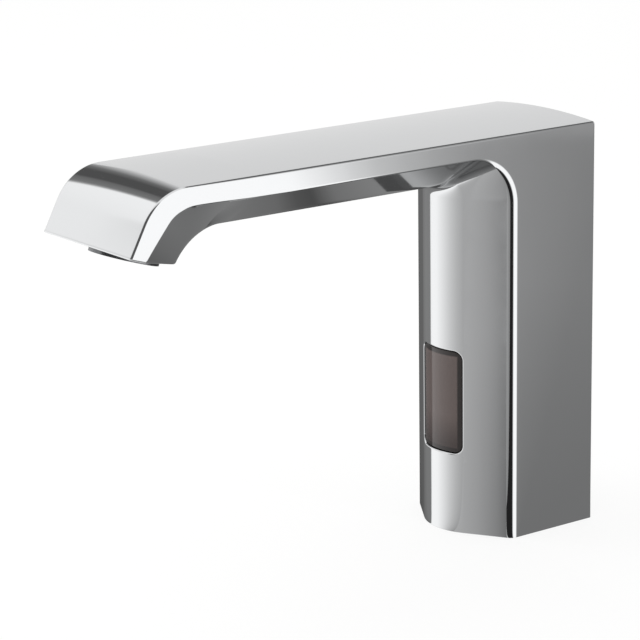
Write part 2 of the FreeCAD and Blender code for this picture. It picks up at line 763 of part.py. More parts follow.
guide_disc = padded("guide_disc", lambda sketch: circle(sketch, "0", "0", cage_inner + " - running_gap"),
                    "guide_thickness", [("0", "0", "stem_radius + running_gap")])
guide_holes = [cylinder("guide_hole_%d" % step, "guide_hole_radius", "guide_thickness + 2",
                        "%.6f * guide_hole_offset" % math.cos(math.radians(90 * step)),
                        "%.6f * guide_hole_offset" % math.sin(math.radians(90 * step)), "-1") for step in range(4)]
guide_bottom = "(%s - guide_thickness)" % cage_top
keep(on_valve(cut("guide", guide_disc, guide_holes), guide_bottom), "check_valve_guide")

poppet_bottom = "(%s + seat_thickness + diaphragm_gap)" % filter_top
poppet_top = "(%s + poppet_thickness)" % poppet_bottom
keep(on_valve(turned("poppet", [
    ("0", poppet_bottom), ("poppet_radius", poppet_bottom), ("poppet_radius", poppet_top),
    ("stem_radius", poppet_top), ("stem_radius", "%s + 0.2" % cage_top), ("0", "%s + 0.2" % cage_top)])),
    "check_valve_poppet")


def spring_shape(radius, wire, climb, turns):
    """A coil spring about Z, in flat facets; climb is the rise of its wire's middle."""
    steps_in_turn = 12
    wire_sides = 6
    steps = steps_in_turn * turns
    rise = climb / (2 * math.pi * turns)
    rings = []
    for step in range(steps + 1):
        angle = 2 * math.pi * step / steps_in_turn
        outwards = Vector(math.cos(angle), math.sin(angle), 0)
        along = Vector(-radius * math.sin(angle), radius * math.cos(angle), rise).normalize()
        middle = outwards * radius + Vector(0, 0, climb * step / steps)
        across = outwards.cross(along)
        rings.append([middle + (outwards * math.cos(turn) + across * math.sin(turn)) * wire
                      for turn in [2 * math.pi * side / wire_sides for side in range(wire_sides)]])
    corners = [rings[0], rings[-1]]
    for ring, following in zip(rings, rings[1:]):
        for side in range(wire_sides):
            beside = (side + 1) % wire_sides
            corners.append([ring[side], ring[beside], following[side]])
            corners.append([ring[beside], following[beside], following[side]])
    faces = [Part.Face(Part.makePolygon(points + points[:1])) for points in corners]
    shell = Part.makeShell(faces)
    shell.sewShape()
    solid = Part.Solid(shell)
    if solid.Volume < 0:
        solid.reverse()
    return solid


def spring(label, radius, low, high, turns):
    """A spring on the valve's axis between two heights."""
    part = doc.addObject("Part::Feature", label)
    start = sheet_value(low) + size.spring_wire
    climb = sheet_value(high) - size.spring_wire - start
    part.Shape = spring_shape(sheet_value(radius), size.spring_wire, climb, turns)
    part.Placement = Placement(Vector(0, size.valve_y, start), Rotation())
    return keep(part, label)


spring("check_valve_spring", "check_spring_radius", poppet_top, guide_bottom, 4)


# ---- solenoid valve

bonnet_top = "(valve_top + bonnet_height)"
valve_width = "(2 * (%s - valve_side_room))" % inner_side
valve_side = "(%s - valve_side_room)" % inner_side
chamber_radius = "(min(%s; valve_depth / 2) - chamber_wall)" % valve_side
bonnet_screw_x = "(%s - bonnet_screw_inset)" % valve_side
bonnet_screw_offset = "(valve_depth / 2 - bonnet_screw_inset)"


def valve_block(name, height, z):
    """A block about the valve's axis."""
    return box(name, valve_width, "valve_depth", height, "-" + valve_side, "valve_y - valve_depth / 2", z)


def around_valve(offset, angles):
    """Places round the valve's axis, at angles from +X."""
    return [("%.6f * %s" % (math.cos(math.radians(angle)), offset),
             "valve_y + %.6f * %s" % (math.sin(math.radians(angle)), offset)) for angle in angles]


towards_right = Rotation(Vector(0, 1, 0), 90)
towards_front = Rotation(Vector(1, 0, 0), 90)
bonnet_screw_places = in_four(bonnet_screw_x, "(valve_y - %s)" % bonnet_screw_offset,
                              "(valve_y + %s)" % bonnet_screw_offset)
screw_tip = "(%s - bonnet_screw_length)" % bonnet_top
valve_ways = [
    on_valve(cylinder("check_bore", "inlet_bore_radius", "%s - %s" % (cage_top, flange_top)), flange_top),
    on_valve(cylinder("check_bore_end", "valve_step_radius", "valve_floor - %s" % cage_top), cage_top),
    on_valve(turned("diaphragm_room", ring_outline("seat_radius", chamber_radius, "chamber_floor", "valve_top"))),
    on_valve(cylinder("over_seat", "seat_radius + 0.5", "valve_top - seat_top"), "seat_top"),
    on_valve(cylinder("seat_bore", "water_radius", "seat_top - outlet_height + 0.1"), "outlet_height"),
    cylinder("outlet_bore", "water_radius", valve_side, "0", "valve_y", "outlet_height", towards_right),
    cylinder("elbow_bore", "elbow_radius", "elbow_plug_length", "%s - elbow_plug_length" % valve_side, "valve_y",
             "outlet_height", towards_right)]
valve_ways += upright_rods("feed_hole", "feed_radius", "chamber_floor - valve_floor + 1",
                           around_valve("feed_offset", (90, 180, 270)), "valve_floor - 0.5")
valve_ways += upright_rods("valve_screw_hole", "bonnet_screw_radius + running_gap", "bonnet_screw_length",
                           bonnet_screw_places, screw_tip)
keep(cut("valve", valve_block("valve_solid", "valve_top - %s" % flange_top, flange_top), valve_ways),
     "valve_body")

diaphragm_low = "(seat_top + diaphragm_gap)"
insert_low = "(%s + diaphragm_thickness)" % diaphragm_low
keep(on_valve(turned("disc", ring_outline("bleed_radius", chamber_radius + " - diaphragm_gap", diaphragm_low,
                                          insert_low))), "diaphragm")
keep(on_valve(turned("disc_insert", ring_outline("bleed_radius", "insert_radius", insert_low,
                                                 "%s + insert_thickness" % insert_low))), "diaphragm_insert")

tube_low = "(%s - guide_seat_depth)" % bonnet_top
nozzle_top = "(%s + pilot_nozzle_height)" % tube_low
bonnet_block = valve_block("bonnet_solid", "bonnet_height", "valve_top")
bonnet_ways = [
    on_valve(cylinder("bonnet_recess_cut", "bonnet_recess_radius", "bonnet_recess + 1"), "valve_top - 1"),
    on_valve(turned("tube_seat", [
        ("pilot_nozzle_radius", tube_low), ("guide_outer_radius", tube_low), ("guide_outer_radius", bonnet_top),
        ("0", bonnet_top), ("0", nozzle_top), ("pilot_nozzle_radius", nozzle_top)])),
    on_valve(cylinder("pilot_hole", "pilot_radius", "bonnet_height"), "valve_top + 0.5")]
bonnet_ways += upright_rods("bonnet_screw_hole", "bonnet_screw_radius + running_gap", "bonnet_height + 2",
                            bonnet_screw_places, "valve_top - 1")
keep(cut("bonnet", bonnet_block, bonnet_ways), "valve_bonnet")
screws("bonnet_screws", bonnet_screw_places, "%s + bonnet_head_height" % bonnet_top, "bonnet_screw_radius",
       "bonnet_screw_length", "bonnet_head_radius", "bonnet_head_height", Rotation(Vector(1, 0, 0), 180))

tube_inner = "(guide_outer_radius - guide_wall)"
tube_top = "(%s + guide_length)" % tube_low
stop_low = "(%s - stop_length)" % tube_top
keep(on_valve(turned("tube", ring_outline(tube_inner, "guide_outer_radius", tube_low, tube_top))), "guide_tube")
keep(on_valve(turned("stop", [
    ("0", stop_low), (tube_inner, stop_low), (tube_inner, tube_top), ("core_stud_radius", tube_top),
    ("core_stud_radius", "%s + core_stud_length" % tube_top), ("0", "%s + core_stud_length" % tube_top)])),
    "core_stop")

plunger_low = "(%s + diaphragm_gap)" % nozzle_top
plunger_high = "(%s - plunger_travel - diaphragm_gap)" % stop_low
pocket_low = "(%s - plunger_pocket_depth)" % plunger_high
keep(on_valve(turned("core", [
    ("0", "%s + seal_thickness" % plunger_low), ("seal_radius", "%s + seal_thickness" % plunger_low),
    ("seal_radius", plunger_low), (tube_inner + " - running_gap", plunger_low),
    (tube_inner + " - running_gap", plunger_high), ("plunger_pocket_radius", plunger_high),
    ("plunger_pocket_radius", pocket_low), ("0", pocket_low)])), "plunger")
keep(on_valve(cylinder("core_seal", "seal_radius", "seal_thickness"), plunger_low), "plunger_seal")
spring("plunger_spring", "plunger_spring_radius", pocket_low, stop_low, 6)

coil_low = "(%s + yoke_thickness)" % bonnet_top
coil_high = "(%s - yoke_thickness)" % tube_top
bobbin_hole = "(guide_outer_radius + running_gap)"
bobbin_core = "(%s + bobbin_wall)" % bobbin_hole
keep(on_valve(turned("bobbin", [
    (bobbin_hole, coil_low), ("coil_radius", coil_low), ("coil_radius", "%s + bobbin_wall" % coil_low),
    (bobbin_core, "%s + bobbin_wall" % coil_low), (bobbin_core, "%s - bobbin_wall" % coil_high),
    ("coil_radius", "%s - bobbin_wall" % coil_high), ("coil_radius", coil_high), (bobbin_hole, coil_high)])),
    "coil_bobbin")
keep(on_valve(turned("winding", ring_outline(bobbin_core, "winding_radius", "%s + bobbin_wall" % coil_low,
                                             "%s - bobbin_wall" % coil_high))), "coil_winding")

yoke_side = "(%s - bonnet_head_radius - yoke_gap)" % bonnet_screw_x
yoke_width = "(2 * %s)" % yoke_side
yoke_front = "(valve_y - %s)" % yoke_side
yoke_reach = "(%s + coil_radius + 0.1)" % yoke_side
yoke = fused("yoke_strap", [
    box("yoke_floor", yoke_width, yoke_reach, "yoke_thickness", "-" + yoke_side, yoke_front, bonnet_top),
    box("yoke_roof", yoke_width, yoke_reach, "yoke_thickness", "-" + yoke_side, yoke_front, coil_high),
    box("yoke_back", yoke_width, "yoke_thickness", "%s - %s" % (tube_top, bonnet_top), "-" + yoke_side,
        "valve_y + coil_radius + 0.1", bonnet_top)])
keep(cut("yoke", yoke, [on_valve(cylinder("yoke_hole", bobbin_hole, "guide_length + 2"), "%s - 1" % bonnet_top)]),
     "coil_yoke")


def hexagon(name, radius, height, hole):
    """A nut about Z; radius is from the middle to a corner."""
    prism = doc.addObject("Part::Prism", name + "_prism")
    prism.Polygon = 6
    prism.setExpression("Circumradius", bound(radius))
    prism.setExpression("Height", bound(height))
    return cut(name, prism, [cylinder(name + "_hole", hole, height + " + 2", z="-1")])


keep(on_valve(hexagon("yoke_nut", "coil_nut_radius", "coil_nut_height", "core_stud_radius"), tube_top), "coil_nut")


# ---- way up to the spout

elbow_start = "(%s - elbow_plug_length)" % valve_side
elbow_length = "(%s - %s)" % (elbow_x, elbow_start)
barb_low = "(outlet_height + elbow_radius + 1)"
barb_high = "(%s + barb_length)" % barb_low
elbow_outside = fused("elbow_outside", [
    cylinder("elbow_arm", "elbow_radius - running_gap", elbow_length, elbow_start, "valve_y", "outlet_height",
             towards_right),
    cylinder("elbow_post", "elbow_radius", "2 * elbow_radius + 1", elbow_x, "valve_y",
             "outlet_height - elbow_radius"),
    cylinder("elbow_barb", "barb_radius", "barb_length", elbow_x, "valve_y", barb_low)])
keep(cut("elbow", elbow_outside, [
    cylinder("elbow_way_in", "elbow_bore_radius", elbow_length, elbow_start, "valve_y", "outlet_height",
             towards_right),
    cylinder("elbow_way_up", "elbow_bore_radius", "elbow_radius + barb_length + 2", elbow_x, "valve_y",
             "outlet_height")]), "outlet_elbow")

washer_low = "(%s - washer_height)" % web_bottom
nut_low = "(%s - riser_nut_height)" % washer_low
nipple_low = "(%s - barb_length)" % nut_low
nipple = turned("nipple", [
    ("elbow_bore_radius", nipple_low), ("barb_radius", nipple_low), ("barb_radius", nut_low),
    ("riser_nut_radius", nut_low), ("riser_nut_radius", washer_low),
    ("riser_thread_radius - running_gap", washer_low),
    ("riser_thread_radius - running_gap", web_top), ("elbow_bore_radius", web_top)])
keep(put(nipple, riser_x, "riser_y"), "riser_nipple")
keep(put(turned("washer", ring_outline("riser_thread_radius", "riser_nut_radius", washer_low, web_bottom)),
         riser_x, "riser_y"), "riser_washer")


bend_share = 0.45       # of the shorter run, where a hose's or a lead's bend starts


def route(points):
    """A path of straight runs joined by tangent arcs."""
    corners = [Vector(*point) for point in points]
    start = corners[0]
    runs = []
    for before, corner, after in zip(corners, corners[1:], corners[2:]):
        back = (before - corner).normalize()
        ahead = (after - corner).normalize()
        reach = bend_share * min(before.distanceToPoint(corner), after.distanceToPoint(corner))
        half_angle = back.getAngle(ahead) / 2
        radius = reach * math.tan(half_angle)
        middle = corner + (back + ahead).normalize() * (radius / math.sin(half_angle) - radius)
        runs.append(Part.LineSegment(start, corner + back * reach))
        runs.append(Part.Arc(corner + back * reach, middle, corner + ahead * reach))
        start = corner + ahead * reach
    runs.append(Part.LineSegment(start, corners[-1]))
    return Part.Wire([run.toShape() for run in runs])


def pipe(radius, points, hole=0.0):
    """A hose or a lead along a route."""
    path = route(points)
    start = Vector(*points[0])
    along = Vector(*points[1]) - start
    rods = [path.makePipeShell([Part.Wire(Part.Circle(start, along, across).toShape())], True, False)
            for across in (radius, hole) if across]
    print("pipe: length %.1f mm, section times length %.1f mm3, solid %.1f mm3" % (
        path.Length, math.pi * radius ** 2 * path.Length, rods[0].Volume))
    return rods[0].cut(rods[1]) if hole else rods[0]


def free_piece(label, shape):
    part = doc.addObject("Part::Feature", label)
    part.Shape = shape
    return keep(part, label)


hose_low = sheet_value(barb_low)
hose_high = sheet_value(nut_low)
hose_straight = size.barb_length / (1 - bend_share)
hose_start = (sheet_value(elbow_x), size.valve_y)
hose_end = (sheet_value(riser_x), size.riser_y)
free_piece("riser_hose", pipe(size.hose_radius, [
    (*hose_start, hose_low), (*hose_start, hose_low + hose_straight), (*hose_end, hose_high - hose_straight),
    (*hose_end, hose_high)], size.barb_radius))
clips = [put(turned("clip_%d" % k, ring_outline("hose_radius", "hose_radius + clip_thickness", "0", "clip_height")),
             x, y, z)
         for k, (x, y, z) in enumerate([(elbow_x, "valve_y", "%s + clip_height / 2" % barb_low),
                                        (riser_x, "riser_y", "%s - clip_height * 3 / 2" % nut_low)], start=1)]
keep(group("clips", clips), "hose_clips")


# ---- sensor behind the window

window_middle = "(window_bottom + window_height / 2)"
housing_low = "(%s - housing_height / 2)" % window_middle
lens_back = "(wall + frame_thickness)"


def hull_block(name, inset, half, height, low, back):
    """The part of the column's inset section in front of back, between two heights."""
    room = padded(name + "_hull", hull_outline(inset), height)
    return common(name, put(room, z=low), box(name + "_box", "2 * %s" % half, front_reach, height, "-" + half,
                                              "-%s - %s" % (back, front_reach), low))


lens_front_hull = put(padded("lens_front_hull", hull_outline("lens_setback"), "housing_height"), z=housing_low)
lens_back_hull = put(padded("lens_back_hull", hull_outline(lens_back), "housing_height"), z=housing_low)
lens_slab = cut("lens_slab", lens_front_hull, [lens_back_hull])
keep(common("lens", lens_slab, rounded_window("lens_block", "-lens_gap", front_reach)), "sensor_lens")

frame_hull = put(padded("frame_hull", hull_outline("wall"), "housing_height"), z=housing_low)
frame_slab = cut("frame_slab", frame_hull, [lens_back_hull])
frame_ring = common("frame_ring", frame_slab, rounded_window("frame_block", "frame_width", front_reach))
keep(cut("frame", frame_ring, [window_hole]), "lens_gasket")

housing_outside = hull_block("housing_outside", lens_back, "(housing_width / 2)", "housing_height", housing_low,
                             "housing_back")
housing_inside = hull_block("housing_inside", "%s + housing_wall" % lens_back,
                            "(housing_width / 2 - housing_wall)", "housing_height - 2 * housing_wall",
                            "%s + housing_wall" % housing_low, "(housing_back - 1)")
cover_screw_x = "(housing_width / 2 - cover_lug)"
cover_screw_places = [(side + cover_screw_x, z) for z in ("(%s + cover_lug)" % housing_low,
                                                          "(%s + housing_height - cover_lug)" % housing_low)
                      for side in ("", "-")]


def front_rods(name, radius, length, places, back):
    """Rods that point forward, from back, at places given as (x, z)."""
    return [cylinder("%s_%d" % (name, k), radius, length, x, back, z, towards_front)
            for k, (x, z) in enumerate(places, start=1)]


cover_lugs = common("cover_lugs", group("cover_lug_set", front_rods("cover_lug_rod", "cover_lug", "tap_width",
                                                                    cover_screw_places, "-housing_back")),
                    housing_outside)
lead_y = "-(board_front + lead_setback)"
housing = fused("housing_with_lugs", [cut("housing_shell", housing_outside, [housing_inside]), cover_lugs])
housing_cuts = front_rods("cover_thread", "cover_screw_radius + running_gap", "cover_screw_length",
                          cover_screw_places, "-housing_back + 1")
housing_cuts.append(rounded_window("lens_ledge_hole", "-lens_ledge", front_reach))
housing_cuts.append(cylinder("lead_way", "lead_radius + running_gap", "housing_height + 2", "0", lead_y,
                             "%s - 1" % housing_low))
keep(cut("housing", housing, housing_cuts), "sensor_housing")

board_width = "(housing_width - 2 * housing_wall - 2 * board_gap)"
board_height = "(housing_height - 2 * housing_wall - 2 * board_gap)"
board = box("board_blank", board_width, "board_thickness", board_height, "-%s / 2" % board_width, "-board_front",
            "%s - %s / 2" % (window_middle, board_height))
keep(cut("board", board, front_rods("board_notch", "cover_lug + board_gap", "tap_width", cover_screw_places,
                                    "0")), "sensor_board")


def domed(label, radius, length, z):
    """A diode on the board: a rod with a rounded nose, pointing forward."""
    straight = "(%s - %s)" % (length, radius)
    rod = cylinder(label + "_rod", radius, straight, "0", "-board_front", z, towards_front)
    nose = put(doc.addObject("Part::Sphere", label + "_nose"), "0", "-board_front - %s" % straight, z)
    nose.setExpression("Radius", bound(radius))
    keep(fused(label + "_diode", [rod, nose]), label)


domed("ir_emitter", "diode_radius", "diode_length", "%s + diode_spread / 2" % window_middle)
domed("ir_receiver", "diode_radius", "diode_length", "%s - diode_spread / 2" % window_middle)
domed("status_led", "led_radius", "led_length", window_middle)

cover = box("cover_blank", "housing_width", "cover_thickness", "housing_height", "-housing_width / 2",
            "-housing_back", housing_low)
keep(cut("cover", cover, front_rods("cover_hole", "cover_screw_radius + running_gap", "cover_thickness + 2",
                                    cover_screw_places, "1 - housing_back + cover_thickness")), "sensor_cover")
cover_screw_set = []
for k, (x, z) in enumerate(cover_screw_places, start=1):
    one = screw("cover_screw_%d" % k, "cover_screw_radius", "cover_screw_length", "cover_head_radius",
                "cover_head_height")
    one.Placement = Placement(Vector(), towards_front)
    cover_screw_set.append(put(one, x, "cover_thickness - housing_back + cover_head_height", z))
keep(group("cover_screw_group", cover_screw_set), "cover_screws")

bracket_back = "(cover_thickness - housing_back)"
bracket_solid = fused("bracket_solid", [
    box("bracket_plate", "bracket_width", "bracket_thickness", "bracket_height", "-bracket_width / 2",
        bracket_back, plate_top),
    box("bracket_foot_plate", bracket_foot_width, "bracket_foot + bracket_thickness", "bracket_thickness",
        "-%s / 2" % bracket_foot_width, "%s - bracket_foot" % bracket_back, plate_top)])
bracket_cuts = upright_rods("foot_hole", "bracket_screw_radius + running_gap", "bracket_thickness + 2",
                            bracket_screw_places, "%s - 1" % plate_top)
bracket_cuts.append(cylinder("foot_notch", "grommet_radius + grommet_flange + 0.5", "bracket_thickness + 2", "0",
                             "-grommet_y", "%s - 1" % plate_top))
keep(cut("bracket", bracket_solid, bracket_cuts), "sensor_bracket")
screws("bracket_screws", bracket_screw_places, "%s + bracket_thickness + bracket_head_height" % plate_top,
       "bracket_screw_radius", "bracket_screw_length + bracket_thickness + bracket_head_height - 1",
       "bracket_head_radius", "bracket_head_height", Rotation(Vector(1, 0, 0), 180))

lead_in = sheet_value(lead_y)
housing_floor = sheet_value(housing_low)
housing_roof = housing_floor + size.housing_height
grommet_foot = size.gasket_thickness
free_piece("sensor_lead", pipe(size.lead_radius, [
    (0, -size.grommet_y, grommet_foot), (0, -size.grommet_y, grommet_foot + size.lead_straight),
    (0, lead_in, housing_floor - size.lead_entry),
    (0, lead_in, housing_floor + size.housing_wall)]))
coil_middle = (sheet_value(coil_low) + sheet_value(coil_high)) / 2
coil_front = size.valve_y - size.winding_radius
free_piece("coil_lead", pipe(size.lead_radius, [
    (0, coil_front, coil_middle), (0, coil_front - size.lead_straight, coil_middle),
    (0, lead_in, housing_roof + size.lead_entry),
    (0, lead_in, housing_roof - size.housing_wall)]))


# ---- aerator, along the outlet's axis

bore_radius = "(aerator_radius - aerator_wall)"
pack_low = "(0.8 - rim_height)"
keep(at_outlet(turned("aerator", [
    (bore_radius + " - rim_lip", "-rim_height"), ("rim_radius", "-rim_height"), ("rim_radius", "0"),
    ("aerator_radius", "0"), ("aerator_radius", "aerator_length"), (bore_radius, "aerator_length"),
    (bore_radius, pack_low), (bore_radius + " - rim_lip", pack_low)])), "aerator_housing")


def sieve(label, low, height, hole):
    """A disc in the aerator with rings of holes."""
    holes = []
    for ring_number in range(5):
        count = 6 * ring_number or 1
        for step in range(count):
            angle = 2 * math.pi * step / count
            holes.append(cylinder("%s_hole_%d_%d" % (label, ring_number, step), hole, height + " + 1",
                                  "%.6f * straightener_pitch" % (ring_number * math.cos(angle)),
                                  "%.6f * straightener_pitch" % (ring_number * math.sin(angle)), "-0.5"))
    disc = cylinder(label + "_disc", bore_radius + " - straightener_gap", height)
    return keep(at_outlet(cut(label + "_cut", disc, holes), low), label)


screen_low = "(%s + straightener_height)" % pack_low
diffuser_low = "(%s + screen_thickness)" % screen_low
pack_radius = "(%s - straightener_gap)" % bore_radius
diffuser_height = "(aerator_length - %s)" % diffuser_low
sieve("aerator_straightener", pack_low, "straightener_height", "straightener_hole")
sieve("aerator_screen", screen_low, "screen_thickness", "screen_hole")
diffuser = turned("diffuser", [
    ("0", "0"), (pack_radius, "0"), (pack_radius, diffuser_height),
    (pack_radius + " - diffuser_wall", diffuser_height), (pack_radius + " - diffuser_wall", "diffuser_floor"),
    ("0", "diffuser_floor")])
jets = [cylinder("jet_%d" % step, "diffuser_hole", "diffuser_floor + 1",
                 "%.6f * diffuser_hole_offset" % math.cos(math.radians(30 * step)),
                 "%.6f * diffuser_hole_offset" % math.sin(math.radians(30 * step)), "-0.5") for step in range(12)]
keep(at_outlet(cut("diffuser_cut", diffuser, jets), diffuser_low), "aerator_diffuser")
keep(at_outlet(turned("outlet_washer", ring_outline("throat_radius", "aerator_radius", "aerator_length",
                                                    "aerator_length + washer_thickness"))), "aerator_washer")


# ---- check and export

doc.recompute()
broken = [part.Name for part in doc.Objects if {"Invalid", "Error"} & set(part.State)]
broken += [part.Label for part in finished if part.Shape.isNull() or not part.Shape.isValid()]
if broken:
    raise RuntimeError("these pieces did not build: " + ", ".join(broken))
for part in finished:
    part.Shape.exportStep("parts/%s.step" % part.Label)
print("%d sub-parts exported" % len(finished))
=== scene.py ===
import json
import math
import bpy
from mathutils import Matrix, Vector


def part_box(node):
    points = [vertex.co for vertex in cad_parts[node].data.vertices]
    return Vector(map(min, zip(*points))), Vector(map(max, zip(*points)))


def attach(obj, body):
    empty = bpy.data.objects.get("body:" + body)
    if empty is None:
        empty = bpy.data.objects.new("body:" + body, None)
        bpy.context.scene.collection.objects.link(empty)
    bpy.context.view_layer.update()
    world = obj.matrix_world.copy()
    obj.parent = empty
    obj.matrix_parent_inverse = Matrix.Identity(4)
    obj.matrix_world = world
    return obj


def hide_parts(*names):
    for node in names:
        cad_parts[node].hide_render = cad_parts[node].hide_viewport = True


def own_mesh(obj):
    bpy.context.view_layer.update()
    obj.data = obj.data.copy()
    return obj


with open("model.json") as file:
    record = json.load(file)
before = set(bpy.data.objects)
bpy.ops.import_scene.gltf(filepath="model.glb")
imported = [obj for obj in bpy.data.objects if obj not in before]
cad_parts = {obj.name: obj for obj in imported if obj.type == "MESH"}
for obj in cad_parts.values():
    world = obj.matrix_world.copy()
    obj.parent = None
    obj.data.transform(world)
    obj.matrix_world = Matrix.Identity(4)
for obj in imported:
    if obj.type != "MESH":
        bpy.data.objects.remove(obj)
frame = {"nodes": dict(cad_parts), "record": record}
print("stage: frame loaded")

mm = 0.001
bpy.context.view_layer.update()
nodes = frame["nodes"]
slotOfNode = {part["node"]: part["material_slot"] for part in frame["record"]["subparts"]}
colourA, colourB, colourOut = 6, 7, 2  # sockets of a Mix node that mixes colours


def linear(hexText):
    # sRGB hex to the linear colour that a shader takes
    parts = [int(hexText[k:k + 2], 16) / 255 for k in (1, 3, 5)]
    return tuple(c / 12.92 if c <= 0.04045 else ((c + 0.055) / 1.055) ** 2.4 for c in parts) + (1.0,)


def addNode(tree, kind, links=(), **settings):
    # one node: its settings, then its inputs by name or number, each a value or another node's output
    node = tree.nodes.new(kind)
    for key, value in settings.items():
        setattr(node, key, value)
    for name, value in links:
        socket = node.inputs[name]
        if isinstance(value, bpy.types.NodeSocket):
            tree.links.new(value, socket)
        else:
            socket.default_value = value
    return node


def startMaterial(name):
    material = bpy.data.materials.new(name)
    material.use_nodes = True
    tree = material.node_tree
    return material, tree, tree.nodes["Principled BSDF"]


def setShader(shader, **values):
    for name, value in values.items():
        shader.inputs[name.replace("_", " ")].default_value = value


def addObject(name, data):
    thing = bpy.data.objects.new(name, data)
    bpy.context.scene.collection.objects.link(thing)
    return thing


def fineNoise(tree, grain, detail, stretch=(1, 1, 1)):
    # noise whose grain is that many millimetres across on the object
    place = addNode(tree, "ShaderNodeTexCoord")
    scale = addNode(tree, "ShaderNodeMapping", [("Vector", place.outputs["Object"]), ("Scale", stretch)])
    noise = addNode(tree, "ShaderNodeTexNoise", [
        ("Vector", scale.outputs["Vector"]), ("Scale", 1 / (grain * mm)), ("Detail", detail)])
    return noise.outputs["Fac"]


noiseSpan = (0.3, 0.7)  # most of a noise lies between these
roughPlay = 0.15  # how far the grain moves a plain finish's roughness, as a share of it


def roughen(tree, shader, haze, low, high, height, depth):
    # haze moves the roughness from low to high, and height lifts the surface by depth, in millimetres
    rough = addNode(tree, "ShaderNodeMapRange", [
        ("Value", haze), ("From Min", noiseSpan[0]), ("From Max", noiseSpan[1]),
        ("To Min", low), ("To Max", high)])
    lift = addNode(tree, "ShaderNodeBump", [
        ("Height", height), ("Distance", depth * mm), ("Strength", 1.0)])
    tree.links.new(rough.outputs["Result"], shader.inputs["Roughness"])
    tree.links.new(lift.outputs["Normal"], shader.inputs["Normal"])


chromePlating = {"colour": "#D9DADB", "haze": 9.0, "lowRough": 0.045, "highRough": 0.075, "wave": 14.0,
                 "waveDepth": 0.004}


def brightChrome():
    # decorative chromium over a polished casting: grey-white mirror with faint haze and a slight waviness
    material, tree, shader = startMaterial("brightChromePlating")
    setShader(shader, Base_Color=linear(chromePlating["colour"]), Metallic=1.0)
    haze = fineNoise(tree, chromePlating["haze"], detail=4.0)
    wave = fineNoise(tree, chromePlating["wave"], detail=1.0)
    roughen(tree, shader, haze, chromePlating["lowRough"], chromePlating["highRough"], wave,
            chromePlating["waveDepth"])
    return material


def plainFinish(name, colour, rough, grain, depth, metallic=0.0, tone=0.06, stretch=(1, 1, 1), coat=0.0):
    # a grain moves colour, roughness and surface a little; grain and depth are in millimetres
    material, tree, shader = startMaterial(name)
    setShader(shader, Metallic=metallic, Coat_Weight=coat)
    noise = fineNoise(tree, grain, detail=4.0, stretch=stretch)
    base = linear(colour)[:3]
    darker = tuple(c * (1 - tone) for c in base) + (1,)
    lighter = tuple(min(1, c * (1 + tone)) for c in base) + (1,)
    shade = addNode(tree, "ShaderNodeMix", [("Factor", noise), (colourA, darker), (colourB, lighter)],
                    data_type="RGBA")
    tree.links.new(shade.outputs[colourOut], shader.inputs["Base Color"])
    roughen(tree, shader, noise, rough * (1 - roughPlay), rough * (1 + roughPlay), noise, depth)
    return material


windowSizes = {"halfWidth": 10.15 * mm, "halfHeight": 17.75 * mm, "middle": 45.35 * mm, "corner": 3.0 * mm,
               "border": 1.6 * mm, "borderBlur": 0.48 * mm, "lensGap": 0.15 * mm, "lensSetback": 0.4 * mm,
               "lensDepth": 3.4 * mm, "lensEdge": 0.35 * mm, "rim": 0.6 * mm, "frame": 3.0 * mm,
               "paintedShadeLow": 3.0 * mm, "paintedShadeHigh": 13.0 * mm}
windowLow = windowSizes["middle"] - windowSizes["halfHeight"]
windowHigh = windowSizes["middle"] + windowSizes["halfHeight"]
# the foot colour is painted shade, mixed in towards the window's bottom
windowTint = {"panelDark": "#665A57", "panelLight": "#6C5F5C", "foot": "#463C3A", "border": "#2A2423",
              "speckle": 0.5, "roughness": 0.08, "ior": 1.5}


def smokedWindow():
    # smoked infrared-clear polycarbonate: brown-grey and glossy, with painted shade darkening it towards its
    # foot, and a printed border
    material, tree, shader = startMaterial("smokedPolycarbonate")
    setShader(shader, Roughness=windowTint["roughness"], IOR=windowTint["ior"])
    place = addNode(tree, "ShaderNodeTexCoord")
    split = addNode(tree, "ShaderNodeSeparateXYZ", [("Vector", place.outputs["Object"])])
    # each ramp: what it reads, where it begins and where it is full
    # the first ramp fades the painted shade from full, low on the window, to none higher up
    paintedShadeLow, paintedShadeHigh = (windowLow + windowSizes[key] for key in ("paintedShadeLow", "paintedShadeHigh"))
    ramps = [(split.outputs["Z"], paintedShadeLow, paintedShadeHigh)]
    for axis, middle, half in (("X", 0.0, windowSizes["halfWidth"]),
                               ("Z", windowSizes["middle"], windowSizes["halfHeight"])):
        away = addNode(tree, "ShaderNodeMath", [(0, split.outputs[axis]), (1, middle)],
                       operation="SUBTRACT")
        size = addNode(tree, "ShaderNodeMath", [(0, away.outputs[0])], operation="ABSOLUTE")
        full = half - windowSizes["border"]
        ramps.append((size.outputs[0], full - windowSizes["borderBlur"], full))
    paintedShadeRamp, besideBorder, endBorder = (
        addNode(tree, "ShaderNodeMapRange", [("Value", source), ("From Min", begin), ("From Max", full)])
        for source, begin, full in ramps)
    border = addNode(tree, "ShaderNodeMath", [(0, besideBorder.outputs[0]), (1, endBorder.outputs[0])],
                     operation="MAXIMUM")
    speckle = fineNoise(tree, windowTint["speckle"], detail=2.0)
    panel = addNode(tree, "ShaderNodeMix", [
        ("Factor", speckle), (colourA, linear(windowTint["panelDark"])),
        (colourB, linear(windowTint["panelLight"]))], data_type="RGBA")
    # painted shade: the foot colour below, the speckled panel above
    shadedPanel = addNode(tree, "ShaderNodeMix", [
        ("Factor", paintedShadeRamp.outputs[0]), (colourA, linear(windowTint["foot"])),
        (colourB, panel.outputs[colourOut])], data_type="RGBA")
    tone = addNode(tree, "ShaderNodeMix", [
        ("Factor", border.outputs[0]), (colourA, shadedPanel.outputs[colourOut]),
        (colourB, linear(windowTint["border"]))], data_type="RGBA")
    tree.links.new(tone.outputs[colourOut], shader.inputs["Base Color"])
    return material


